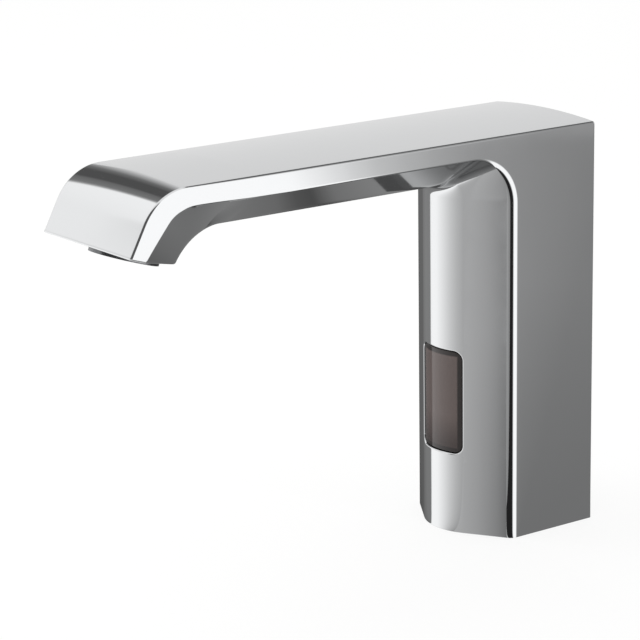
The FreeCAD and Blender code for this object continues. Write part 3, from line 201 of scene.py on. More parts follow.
# turning draws the grain into fine rings round the axis
turnedMetal = {"metallic": 1.0, "tone": 0.08, "stretch": (1, 1, 6)}
glassyEpoxy = {"grain": 3.0, "depth": 0.002, "coat": 0.5}
finishes = {
    # nitrile, moulded: near-black with a dull bloom
    "black_rubber": plainFinish("mouldedNitrileRubber", "#232322", rough=0.62, grain=0.8, depth=0.012),
    # rubber on fabric: near-black, with the cloth just showing through
    "diaphragm_rubber": plainFinish("fabricFilledRubber", "#2A2827", rough=0.7, grain=0.4, depth=0.03),
    # turned brass: warm, with fine turning rings
    "plain_brass": plainFinish("turnedBrass", "#C7A55E", rough=0.24, grain=0.25, depth=0.004, **turnedMetal),
    # stainless steel, turned or drawn: grey with fine lines
    "stainless_steel": plainFinish("turnedStainlessSteel", "#BDBBB6", rough=0.26, grain=0.2, depth=0.003,
                                   **turnedMetal),
    # zinc plated strap: bluish grey, slightly mottled
    "zinc_steel": plainFinish("zincPlatedSteel", "#B4B8BC", rough=0.36, grain=2.2, depth=0.004,
                              metallic=1.0, tone=0.12),
    # enamelled copper wire, layer wound: red-brown with close turns
    "copper_winding": plainFinish("enamelledCopperWire", "#A8542C", rough=0.3, grain=0.3, depth=0.05,
                                  metallic=1.0, tone=0.15, stretch=(0.2, 0.2, 6)),
    # acetal and glass-filled nylon, natural: milky white
    "white_plastic": plainFinish("mouldedAcetal", "#DAD9D2", rough=0.42, grain=1.1, depth=0.01, tone=0.03),
    # black ABS housings: fine spark texture
    "black_plastic": plainFinish("sparkTexturedAbs", "#1C1C1D", rough=0.48, grain=0.35, depth=0.02),
    # fibreglass board under green solder mask: glossy and slightly cloudy
    "circuit_board": plainFinish("solderMaskedBoard", "#1F5A36", rough=0.3, grain=1.4, depth=0.006,
                                 tone=0.12, coat=0.3),
    # cast epoxy diodes: tinted and smooth as glass
    "clear_diode": plainFinish("paleBlueEpoxy", "#9FA6BA", rough=0.12, **glassyEpoxy),
    "dark_diode": plainFinish("infraredBlackEpoxy", "#201A22", rough=0.1, **glassyEpoxy),
    "red_diode": plainFinish("tintedRedEpoxy", "#A8201C", rough=0.12, **glassyEpoxy),
    # satin chrome of the aerator's ring, duller than the casting; its darker grey is painted shade
    "aerator_chrome": plainFinish("satinChromeWithPaintedShade", "#77787A", rough=0.25, grain=0.3, depth=0.002,
                                  metallic=1.0, tone=0.05),
    "chrome_casting": brightChrome(),
    "smoked_lens": smokedWindow(),
}
for name, cadObject in nodes.items():
    cadObject.data.materials.clear()
    cadObject.data.materials.append(finishes[slotOfNode[name]])
print("stage: materials")

# shells: points closer than weldCell are one, and each corner has its own normal
weldCell = 0.004 * mm


def newShell():
    return {"points": [], "cells": {}, "faces": [], "normals": []}


def vertexAt(shell, point):
    home = [math.floor(c / weldCell) for c in point]
    for dx in (0, -1, 1):
        for dy in (0, -1, 1):
            for dz in (0, -1, 1):
                found = shell["cells"].get((home[0] + dx, home[1] + dy, home[2] + dz))
                if found is not None and (shell["points"][found] - point).length < weldCell:
                    return found
    shell["cells"][tuple(home)] = len(shell["points"])
    shell["points"].append(point.copy())
    return len(shell["points"]) - 1


def addFace(shell, corners):
    # corners are (point, normal) pairs; the face is turned to agree with its normals
    ring = []
    for point, normal in corners:
        index = vertexAt(shell, point)
        if not ring or (index != ring[-1][0] and index != ring[0][0]):
            ring.append((index, normal))
    if len(ring) < 3:
        return
    points = [shell["points"][index] for index, _ in ring]
    facing = sum(((a - points[0]).cross(b - points[0]) for a, b in zip(points[1:], points[2:])), Vector())
    if facing.dot(sum((normal for _, normal in ring), Vector())) < 0:
        ring.reverse()
    shell["faces"].append([index for index, _ in ring])
    shell["normals"].append([normal for _, normal in ring])


def addGrid(shell, rows):
    # rows of (point, normal) pairs, all as long
    for row, following in zip(rows, rows[1:]):
        for k in range(len(row) - 1):
            addFace(shell, [row[k], row[k + 1], following[k + 1], following[k]])


def seatPiece(name, mesh, nodeName):
    # the mesh as a piece that rides the tap in the CAD node's place
    piece = addObject(name, mesh)
    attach(piece, "tap")
    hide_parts(nodeName)
    print("stage:", name, len(mesh.polygons), "faces")
    return piece


def finishShell(shell, name, nodeName):
    mesh = bpy.data.meshes.new(name)
    mesh.from_pydata([tuple(p) for p in shell["points"]], [], shell["faces"])
    mesh.polygons.foreach_set("use_smooth", [True] * len(mesh.polygons))
    mesh.materials.append(finishes[slotOfNode[nodeName]])
    mesh.normals_split_custom_set([tuple(n.normalized()) for face in shell["normals"] for n in face])
    mesh.update()
    return seatPiece(name, mesh, nodeName)


# the casting's sizes, as the CAD part has them, and how many faces each stretch gets
casting = {
    "halfWidth": 25.0 * mm, "backFace": 23.8 * mm, "cornerY": -11.7 * mm, "facetAngle": math.radians(32.5),
    "keelRadius": 20.0 * mm, "edgeHeight": 137.5 * mm, "crown": 1.333 * mm, "bandHeight": 6.5 * mm,
    "jointRadius": 4.0 * mm, "noseReach": 158.5 * mm, "noseEdgeHeight": 118.2 * mm,
    "noseAngle": math.radians(28), "noseBandAngle": math.radians(39), "noseBand": 5.5 * mm,
    "noseDepth": 30.7 * mm, "noseRadius": 18.0 * mm, "noseBandRadius": 11.0 * mm,
    "noseKeelRadius": 12.5 * mm, "noseLead": 0.5 * mm, "ringGap": 0.6 * mm,
    "outletTilt": math.radians(17.5), "outletSetback": 14.3 * mm, "wall": 3.0 * mm, "cavityTop": 112.0 * mm,
    "roofMiddle": 2.0 * mm, "columnCorner": 3.8 * mm, "spoutCorner": 0.9 * mm, "edgeRound": 0.9 * mm,
    "rimRound": 0.5 * mm, "leastRound": 0.3 * mm, "leastCrown": 0.02 * mm, "boreRadius": 10.48 * mm,
    "boreDepth": 13.0 * mm,
}
detail = {"corner": 8, "facet": 6, "keel": 14, "edge": 5, "lid": 10, "spout": 6, "nose": 56, "rim": 4,
          "elbow": 24, "below": 3, "beside": 6, "above": 4, "frame": 4, "lens": 5}
halfWidth = casting["halfWidth"]
tipAcross = casting["keelRadius"] * math.sin(casting["facetAngle"])
bowDepth = ((halfWidth - tipAcross) * math.tan(casting["facetAngle"])
            + casting["keelRadius"] * (1 - math.cos(casting["facetAngle"])))


def steps(start, end, count):
    return [start + (end - start) * k / count for k in range(count + 1)]


def bowLine(band, keel, keelRadius, corner, inset=0.0):
    # from the right flank round the keel to the left flank, as (across, down, normal across, normal down)
    centre = keel - keelRadius
    angle = (math.atan2(band - centre, halfWidth)
             + math.acos(keelRadius / math.hypot(halfWidth, band - centre)))
    small = keelRadius - inset
    side = halfWidth - inset
    tip = (small * math.cos(angle), centre + small * math.sin(angle))
    bend = tip[1] - (side - tip[0]) / math.tan(angle)
    rounding = max(corner - inset, casting["leastRound"])
    hub = (side - rounding, bend - rounding * math.tan(angle / 2))
    half = [(hub[0] + rounding * math.cos(turn), hub[1] + rounding * math.sin(turn), math.cos(turn),
             math.sin(turn)) for turn in steps(0, angle, detail["corner"])]
    start = half[-1]
    half += [(start[0] + (tip[0] - start[0]) * share, start[1] + (tip[1] - start[1]) * share,
              math.cos(angle), math.sin(angle)) for share in steps(0, 1, detail["facet"])[1:]]
    half += [(small * math.cos(turn), centre + small * math.sin(turn), math.cos(turn), math.sin(turn))
             for turn in steps(angle, math.pi / 2, detail["keel"])[1:]]
    return half + [(-x, down, -nx, nd) for x, down, nx, nd in half[-2::-1]]


def lidLine(crown, rounding):
    # from the left flank over the top to the right flank
    crown = max(crown, casting["leastCrown"])
    arc = (halfWidth ** 2 + crown ** 2) / (2 * crown)
    drop = math.sqrt((arc - rounding) ** 2 - (halfWidth - rounding) ** 2)
    hub = (halfWidth - rounding, arc - crown - drop)
    slope = math.asin(hub[0] / (arc - rounding))
    half = [(hub[0] + rounding * math.cos(turn), hub[1] - rounding * math.sin(turn), math.cos(turn),
             -math.sin(turn)) for turn in steps(0, math.pi / 2 - slope, detail["edge"])]
    half += [(arc * math.sin(lean), arc - crown - arc * math.cos(lean), math.sin(lean), -math.cos(lean))
             for lean in steps(slope, 0, detail["lid"])[1:]]
    return [(-x, down, -nx, nd) for x, down, nx, nd in half] + half[-2::-1]


def columnBow(inset=0.0):
    return bowLine(0, bowDepth, casting["keelRadius"], casting["columnCorner"], inset)


bowBase = columnBow()
turnRadius = bowDepth + casting["jointRadius"]
bandHeight = casting["edgeHeight"] - casting["bandHeight"]
axisY = casting["cornerY"] - turnRadius
axisZ = bandHeight - turnRadius


def bentPath(height, end, angle, radius, startY):
    # one long edge of the nose, level and then down at an angle, as a function of its share of length
    corner = Vector((0, end.y + (height - end.z) * math.tan(angle), height))
    start = Vector((0, startY, height))
    first = (start - corner).normalized()
    second = (end - corner).normalized()
    halfTurn = first.angle(second) / 2
    cutBack = radius / math.tan(halfTurn)
    entry = corner + first * cutBack
    leave = corner + second * cutBack
    hub = corner + (first + second).normalized() * (radius / math.sin(halfTurn))
    sweep = math.pi - 2 * halfTurn
    lengths = [(entry - start).length, radius * sweep, (end - leave).length]

    def at(share):
        run = share * sum(lengths)
        if run <= lengths[0]:
            return start.lerp(entry, run / lengths[0])
        run -= lengths[0]
        if run <= lengths[1]:
            spoke = entry - hub
            turn = run / radius
            return hub + spoke * math.cos(turn) - first * radius * math.sin(turn)
        return leave.lerp(end, (run - lengths[1]) / lengths[2])

    return at


tilt = casting["outletTilt"]
alongOutlet = Vector((0, math.cos(tilt), -math.sin(tilt)))
outwards = Vector((0, -math.sin(tilt), -math.cos(tilt)))
noseTip = Vector((0, -casting["noseReach"], casting["noseEdgeHeight"]))
outletMiddle = noseTip + alongOutlet * casting["outletSetback"]
keelHeight = bandHeight - bowDepth
keelEnd = noseTip + alongOutlet * casting["noseDepth"]
keelCornerY = keelEnd.y + (keelHeight - keelEnd.z) * math.tan(casting["noseAngle"])
noseStart = (keelCornerY + casting["noseRadius"] * math.tan((math.pi / 2 - casting["noseAngle"]) / 2)
             + casting["noseLead"])
topPath = bentPath(casting["edgeHeight"], noseTip, casting["noseAngle"], casting["noseRadius"], noseStart)
bandPath = bentPath(bandHeight, noseTip + alongOutlet * casting["noseBand"], casting["noseBandAngle"],
                    casting["noseBandRadius"], noseStart)
keelPath = bentPath(keelHeight, keelEnd, casting["noseAngle"], casting["noseRadius"], noseStart)


def spoutSection(share):
    # the closed section at a share of the nose; share 0 is the straight spout's
    top, band, keel = topPath(share), bandPath(share), keelPath(share)
    downWay = (keel - top).normalized()
    radius = casting["keelRadius"] + (casting["noseKeelRadius"] - casting["keelRadius"]) * share
    lid = lidLine(casting["crown"] * (1 - share), casting["edgeRound"])
    bow = bowLine((band - top).dot(downWay), (keel - top).length, radius, casting["spoutCorner"])
    return top, downWay, lid + bow + lid[:1]


# rings of the straight spout, and of the nose with normals square to its own curve
bodyShell = newShell()
top, _, line = spoutSection(0)
spoutRings = [[(Vector((x, y, top.z - down)), Vector((nx, 0, -nd))) for x, down, nx, nd in line]
              for y in steps(axisY, noseStart, detail["spout"])[:-1] + [noseStart + casting["ringGap"]]]
roughRings = []
for share in steps(0, 1, detail["nose"]):
    top, downWay, line = spoutSection(share)
    roughRings.append([(top + Vector((x, 0, 0)) + downWay * down, Vector((nx, 0, 0)) + downWay * nd)
                       for x, down, nx, nd in line])
noseRings = []
for k, ring in enumerate(roughRings):
    before = roughRings[max(k - 1, 0)]
    after = roughRings[min(k + 1, detail["nose"])]
    noseRings.append([])
    for j, (point, normal) in enumerate(ring):
        along = (after[j][0] - before[j][0]).normalized()
        noseRings[k].append((point, (normal - along * normal.dot(along)).normalized()))
rounding = casting["rimRound"]
lastRing = [(point, (normal - outwards * normal.dot(outwards)).normalized())
            for point, normal in noseRings[-1]]
rimRings = []
for turn in steps(0, math.pi / 2, detail["rim"]):
    up = rounding * (1 - math.sin(turn))
    aside = rounding * (1 - math.cos(turn))
    rimRings.append([(point - outwards * up - sideways * aside,
                      sideways * math.cos(turn) + outwards * math.sin(turn))
                     for point, sideways in lastRing])
addGrid(bodyShell, spoutRings + noseRings[:-1] + rimRings)


def boreRing(depth, inwards):
    # the edge of the aerator's bore at a depth, facing into the bore or out of the outlet
    ring = []
    for point, _ in rimRings[-1]:
        spoke = point - outletMiddle
        spoke = (spoke - outwards * spoke.dot(outwards)).normalized()
        place = outletMiddle + spoke * casting["boreRadius"] - outwards * depth
        ring.append((place, -spoke if inwards else outwards))
    return ring


boreEnd = boreRing(casting["boreDepth"], False)
boreMiddle = (outletMiddle - outwards * casting["boreDepth"], outwards)
addGrid(bodyShell, [[(point, outwards) for point, _ in rimRings[-1]], boreRing(0, False)])
addGrid(bodyShell, [boreRing(0, True), boreRing(casting["boreDepth"], True)])
addGrid(bodyShell, [boreEnd, [boreMiddle] * len(boreEnd)])
print("stage: nose and spout")


def elbowCorner(turn):
    # the corner eases from the column's rounding to the spout's
    ease = turn / (math.pi / 2)
    ease = ease * ease * (3 - 2 * ease)
    return casting["columnCorner"] + (casting["spoutCorner"] - casting["columnCorner"]) * ease


# elbow: the bow turns about an axis in front of the column
elbowRows = []
for turn in steps(0, math.pi / 2, detail["elbow"]):
    row = []
    for x, down, nx, nd in bowLine(0, bowDepth, casting["keelRadius"], elbowCorner(turn)):
        reach = turnRadius - down
        row.append((Vector((x, axisY + reach * math.cos(turn), axisZ + reach * math.sin(turn))),
                    Vector((nx, -nd * math.cos(turn), -nd * math.sin(turn)))))
    elbowRows.append(row)
addGrid(bodyShell, elbowRows)


def frontAt(x, inset):
    # place and outward normal of the column's front at x, over keel and facets
    angle = casting["facetAngle"]
    small = casting["keelRadius"] - inset
    tipX = small * math.sin(angle)
    hubY = casting["cornerY"] - bowDepth + casting["keelRadius"]
    if abs(x) <= tipX:
        y = hubY - math.sqrt(small ** 2 - x ** 2)
        return y, Vector((x / small, (y - hubY) / small, 0))
    y = hubY - small * math.cos(angle) + (abs(x) - tipX) * math.tan(angle)
    return y, Vector((math.copysign(math.sin(angle), x), -math.cos(angle), 0))


def onFront(x, z, inset, inwards=False):
    y, normal = frontAt(x, inset)
    return Vector((x, y, z)), -normal if inwards else normal


touching = 1e-4 * mm  # a point this close to the rectangle's side is on it


def windowPoint(x, z, limitX, limitLow, limitHigh, grow=0.0):
    # the point of the window's outline that belongs to a point of the rectangle round it
    straightX = windowSizes["halfWidth"] - windowSizes["corner"]
    straightLow = windowLow + windowSizes["corner"]
    straightHigh = windowHigh - windowSizes["corner"]
    radius = windowSizes["corner"] + grow
    onSide = abs(abs(x) - limitX) < touching
    high = z > windowSizes["middle"]
    edgeZ = straightHigh if high else straightLow
    up = 1 if high else -1
    if onSide and straightLow <= z <= straightHigh:
        return math.copysign(windowSizes["halfWidth"] + grow, x), z
    if not onSide and abs(x) <= straightX:
        return x, edgeZ + up * radius
    if onSide:
        limit = limitHigh if high else limitLow
        lean = math.pi / 4 * (z - edgeZ) / (limit - edgeZ)
    else:
        lean = math.pi / 2 - math.pi / 4 * (abs(x) - straightX) / (limitX - straightX)
    return math.copysign(straightX + radius * math.cos(lean), x), edgeZ + up * radius * math.sin(lean)


def columnRows(top):
    # heights: plain rows below and above the window, close ones beside it
    low = windowLow - windowSizes["frame"]
    high = windowHigh + windowSizes["frame"]
    lowCorner = windowLow + windowSizes["corner"]
    highCorner = windowHigh - windowSizes["corner"]
    count = detail["beside"]
    beside = (steps(low, lowCorner, count) + steps(lowCorner, highCorner, count)[1:]
              + steps(highCorner, high, count)[1:])
    return steps(0, low, detail["below"])[:-1], beside, steps(high, top, detail["above"])[1:]


def columnFront(shell, inset, top, inwards):
    # the bow as an upright skin with a rounded hole; returns the rectangle round the hole and its limits
    sign = -1 if inwards else 1
    across = [(x, casting["cornerY"] - down, Vector((nx, -nd, 0)) * sign)
              for x, down, nx, nd in columnBow(inset)]
    below, beside, above = columnRows(top)
    reach = windowSizes["halfWidth"] + windowSizes["frame"]
    inside = [k for k, (x, y, normal) in enumerate(across) if abs(x) < reach]
    first, last = inside[0], inside[-1]

    def strip(columns, heights):
        addGrid(shell, [[(Vector((x, y, z)), normal) for x, y, normal in columns] for z in heights])

    strip(across, below + beside[:1])
    strip(across, beside[-1:] + above)
    strip(across[:first + 1], beside)
    strip(across[last:], beside)
    limitX, low, high = across[first][0], beside[0], beside[-1]
    outline = [(x, low) for x, _, _ in across[first:last + 1]]
    outline += [(-limitX, z) for z in beside[1:]]
    outline += [(x, high) for x, _, _ in across[first:last][::-1]]
    outline += [(limitX, z) for z in beside[1:-1][::-1]]
    outline.append(outline[0])
    grow = 0.0 if inwards else windowSizes["rim"]
    hole = [windowPoint(x, z, limitX, low, high, grow) for x, z in outline]
    rows = [[onFront(x + (holeX - x) * share, z + (holeZ - z) * share, inset, inwards)
             for (x, z), (holeX, holeZ) in zip(outline, hole)] for share in steps(0, 1, detail["frame"])]
    addGrid(shell, rows)
    return outline, (limitX, low, high)


outline, limits = columnFront(bodyShell, 0.0, axisZ, False)
innerOutline, innerLimits = columnFront(bodyShell, casting["wall"], casting["cavityTop"], True)


def windowWay(x, z):
    # direction from the outline into the window, along the front's skin
    straightX = windowSizes["halfWidth"] - windowSizes["corner"]
    nearX = min(max(x, -straightX), straightX)
    nearZ = min(max(z, windowLow + windowSizes["corner"]), windowHigh - windowSizes["corner"])
    return Vector((nearX - x, 0, nearZ - z)).normalized()


def rimPoint(x, z, lean):
    # a point of the hole's rounded edge, whose normal leans from outwards to into the hole
    grow = windowSizes["rim"] * (1 - math.sin(lean))
    depth = windowSizes["rim"] * (1 - math.cos(lean))
    holeX, holeZ = windowPoint(x, z, *limits, grow)
    point, normal = onFront(holeX, holeZ, 0.0)
    leaning = normal * math.cos(lean) + windowWay(holeX, holeZ) * math.sin(lean)
    return point - normal * depth, leaning.normalized()


rimRows = [[rimPoint(x, z, lean) for x, z in outline] for lean in steps(0, math.pi / 2, detail["rim"])]
addGrid(bodyShell, rimRows)
wallRow = []
for x, z in innerOutline:
    holeX, holeZ = windowPoint(x, z, *innerLimits)
    wallRow.append((onFront(holeX, holeZ, casting["wall"])[0], windowWay(holeX, holeZ)))
addGrid(bodyShell, [rimRows[-1], wallRow])
print("stage: column front")

# flanks, back and top
rearRound = casting["edgeRound"]
lid = lidLine(casting["crown"], rearRound)
cornerZ = casting["edgeHeight"] - lid[-1][1]
cornerBackY = casting["backFace"] - rearRound
columnHeights = sum(columnRows(axisZ), [])
sideHeights = columnHeights + steps(axisZ, cornerZ, detail["elbow"] // 2)[1:]
topPlaces = steps(cornerBackY, axisY, detail["elbow"] // 2)
for side in (1, -1):
    outer = [Vector((side * halfWidth, cornerBackY, z)) for z in sideHeights]
    outer += [Vector((side * halfWidth, y, cornerZ)) for y in topPlaces[1:]]
    inner = [Vector((side * halfWidth, casting["cornerY"] - bowBase[0][1], z)) for z in columnHeights]
    inner += [row[0 if side > 0 else -1][0] for row in elbowRows[1:]]
    addGrid(bodyShell, [[(point, Vector((side, 0, 0))) for point in edge] for edge in (inner, outer)])
    hub = Vector((side * (halfWidth - rearRound), cornerBackY, 0))
    rearRows = []
    for lean in steps(0, math.pi / 2, detail["edge"]):
        normal = Vector((side * math.cos(lean), math.sin(lean), 0))
        rearRows.append([(hub + Vector((0, 0, z)) + normal * rearRound, normal) for z in sideHeights])
    addGrid(bodyShell, rearRows)
upwards = [(Vector((x, 0, casting["edgeHeight"] - down)), Vector((nx, 0, -nd)))
           for x, down, nx, nd in lid]
addGrid(bodyShell, [[(point + Vector((0, y, 0)), normal) for point, normal in upwards] for y in topPlaces])
backwards = Vector((0, 1, 0))
topEdge = []
for lean in steps(0, math.pi / 2, detail["edge"]):
    topEdge.append([])
    for point, normal in upwards:
        turned = normal * math.cos(lean) + backwards * math.sin(lean)
        hub = point - normal * rearRound + Vector((0, cornerBackY, 0))
        topEdge[-1].append((hub + turned * rearRound, turned))
addGrid(bodyShell, topEdge)
backTop = [point - normal * rearRound + backwards * casting["backFace"] for point, normal in upwards]
backRows = [[(Vector((point.x, point.y, z)), backwards) for point in backTop] for z in sideHeights[:-1]]
backRows.append([(point, backwards) for point in backTop])
addGrid(bodyShell, backRows)


def footLoop(inset, z, normal=None, inwards=False):
    # the column's outline, from the middle of the back round the right side
    sign = -1 if inwards else 1
    reach = max(rearRound - inset, casting["leastRound"])
    side = halfWidth - inset
    back = casting["backFace"] - inset
    half = [(point.x * (side - reach) / (halfWidth - rearRound), back, backwards)
            for point in backTop[len(backTop) // 2:-detail["edge"]]]
    half += [(side - reach + reach * math.sin(lean), back - reach + reach * math.cos(lean),
              Vector((math.sin(lean), math.cos(lean), 0)))
             for lean in steps(0, math.pi / 2, detail["edge"])[1:]]
    bow = [(x, casting["cornerY"] - down, Vector((nx, -nd, 0))) for x, down, nx, nd in columnBow(inset)]
    loop = half + bow + [(-x, y, Vector((-n.x, n.y, 0))) for x, y, n in half[::-1]]
    return [(Vector((x, y, z)), normal or n * sign) for x, y, n in loop]


# foot and the dry room inside
downwards = Vector((0, 0, -1))
wall = casting["wall"]
addGrid(bodyShell, [footLoop(0.0, 0.0, downwards), footLoop(wall, 0.0, downwards)])
innerLoop = footLoop(wall, 0.0, inwards=True)
bowStart = (len(innerLoop) - len(bowBase)) // 2
innerHeights = sum(columnRows(casting["cavityTop"]), [])
for stretch in (innerLoop[:bowStart + 1], innerLoop[bowStart + len(bowBase) - 1:]):
    addGrid(bodyShell, [[(Vector((point.x, point.y, z)), normal) for point, normal in stretch]
                        for z in innerHeights])
roof = footLoop(wall, casting["cavityTop"], downwards)
roofMiddle = (Vector((0, casting["roofMiddle"], casting["cavityTop"])), downwards)
addGrid(bodyShell, [roof, [roofMiddle] * len(roof)])
finishShell(bodyShell, "chromeBody", "body_casting")

# sensor window: rows drawn in towards an upright line in its middle
lensDrawIn = 0.6


def lensRow(scaleX, scaleZ, inset, facing, sideways):
    # the outline scaled about the window's middle; its normals face out of the column or away from the rim
    row = []
    for x, z in outline:
        holeX, holeZ = windowPoint(x, z, *limits, -windowSizes["lensGap"])
        height = windowSizes["middle"] + (holeZ - windowSizes["middle"]) * scaleZ
        point, normal = onFront(holeX * scaleX, height, inset)
        row.append((point, normal * facing - windowWay(holeX, holeZ) * sideways))
    return row


lensShell = newShell()
setback = windowSizes["lensSetback"]
lensBack = setback + windowSizes["lensDepth"]
lensEdge = windowSizes["lensEdge"]
scales = [(share, 1 - (1 - share) * lensDrawIn) for share in steps(1, 0, detail["lens"])]
edgeScale = (1 - lensEdge / windowSizes["halfWidth"], 1 - lensEdge / windowSizes["halfHeight"])
front = [lensRow(*scale, setback, 1, 0) for scale in [edgeScale] + scales[1:]]
edgeRow = lensRow(1, 1, setback + lensEdge, 0, 1)
addGrid(lensShell, front)
addGrid(lensShell, [front[0], edgeRow, lensRow(1, 1, lensBack, 0, 1)])
addGrid(lensShell, [lensRow(*scale, lensBack, -1, 0) for scale in scales])
finishShell(lensShell, "sensorWindow", "sensor_lens")


def startTree(name, sizes):
    # a tree with a named input for each size
    tree = bpy.data.node_groups.new(name, "GeometryNodeTree")
    tree.interface.new_socket("Geometry", in_out="OUTPUT", socket_type="NodeSocketGeometry")
    for label, value in sizes.items():
        socket = tree.interface.new_socket(label, in_out="INPUT", socket_type="NodeSocketFloat")
        socket.default_value = value
    return tree, tree.nodes.new("NodeGroupInput").outputs


def endTree(tree, geometry, nodeName, place, turn=(0, 0, 0)):
    # seats the result in the tap, makes it real and gives it the CAD node's finish
    seated = addNode(tree, "GeometryNodeTransform", [
        ("Geometry", geometry), ("Translation", tuple(place)), ("Rotation", turn)])
    real = addNode(tree, "GeometryNodeRealizeInstances", [("Geometry", seated.outputs[0])])
    dressed = addNode(tree, "GeometryNodeSetMaterial", [
        ("Geometry", real.outputs[0]), ("Material", finishes[slotOfNode[nodeName]])])
    addNode(tree, "NodeGroupOutput", [("Geometry", dressed.outputs[0])])


def pieceFromTree(name, tree, sizes, nodeName):
    # the tree's result as a plain mesh that takes the CAD node's place
    carrier = addObject(name + "Carrier", bpy.data.meshes.new(name + "Carrier"))
    modifier = carrier.modifiers.new("build", "NODES")
    modifier.node_group = tree
    for socket in tree.interface.items_tree:
        if socket.in_out == "INPUT":
            modifier[socket.identifier] = sizes[socket.name]
    solved = carrier.evaluated_get(bpy.context.evaluated_depsgraph_get())
    mesh = bpy.data.meshes.new_from_object(solved)
    mesh.name = name
    bpy.data.objects.remove(carrier)
    return seatPiece(name, mesh, nodeName)


# honeycomb insert of the aerator: a lattice that follows a rule
honeycomb = {"Cell Pitch": 1.5 * mm, "Cell Wall": 0.24 * mm, "Depth": 4.0 * mm, "Outer Radius": 9.1 * mm,
             "Ring Width": 0.8 * mm}
honeycombMake = {"lowFace": -0.7 * mm, "gridCount": 17, "ringSteps": 96, "weld": 0.002 * mm}


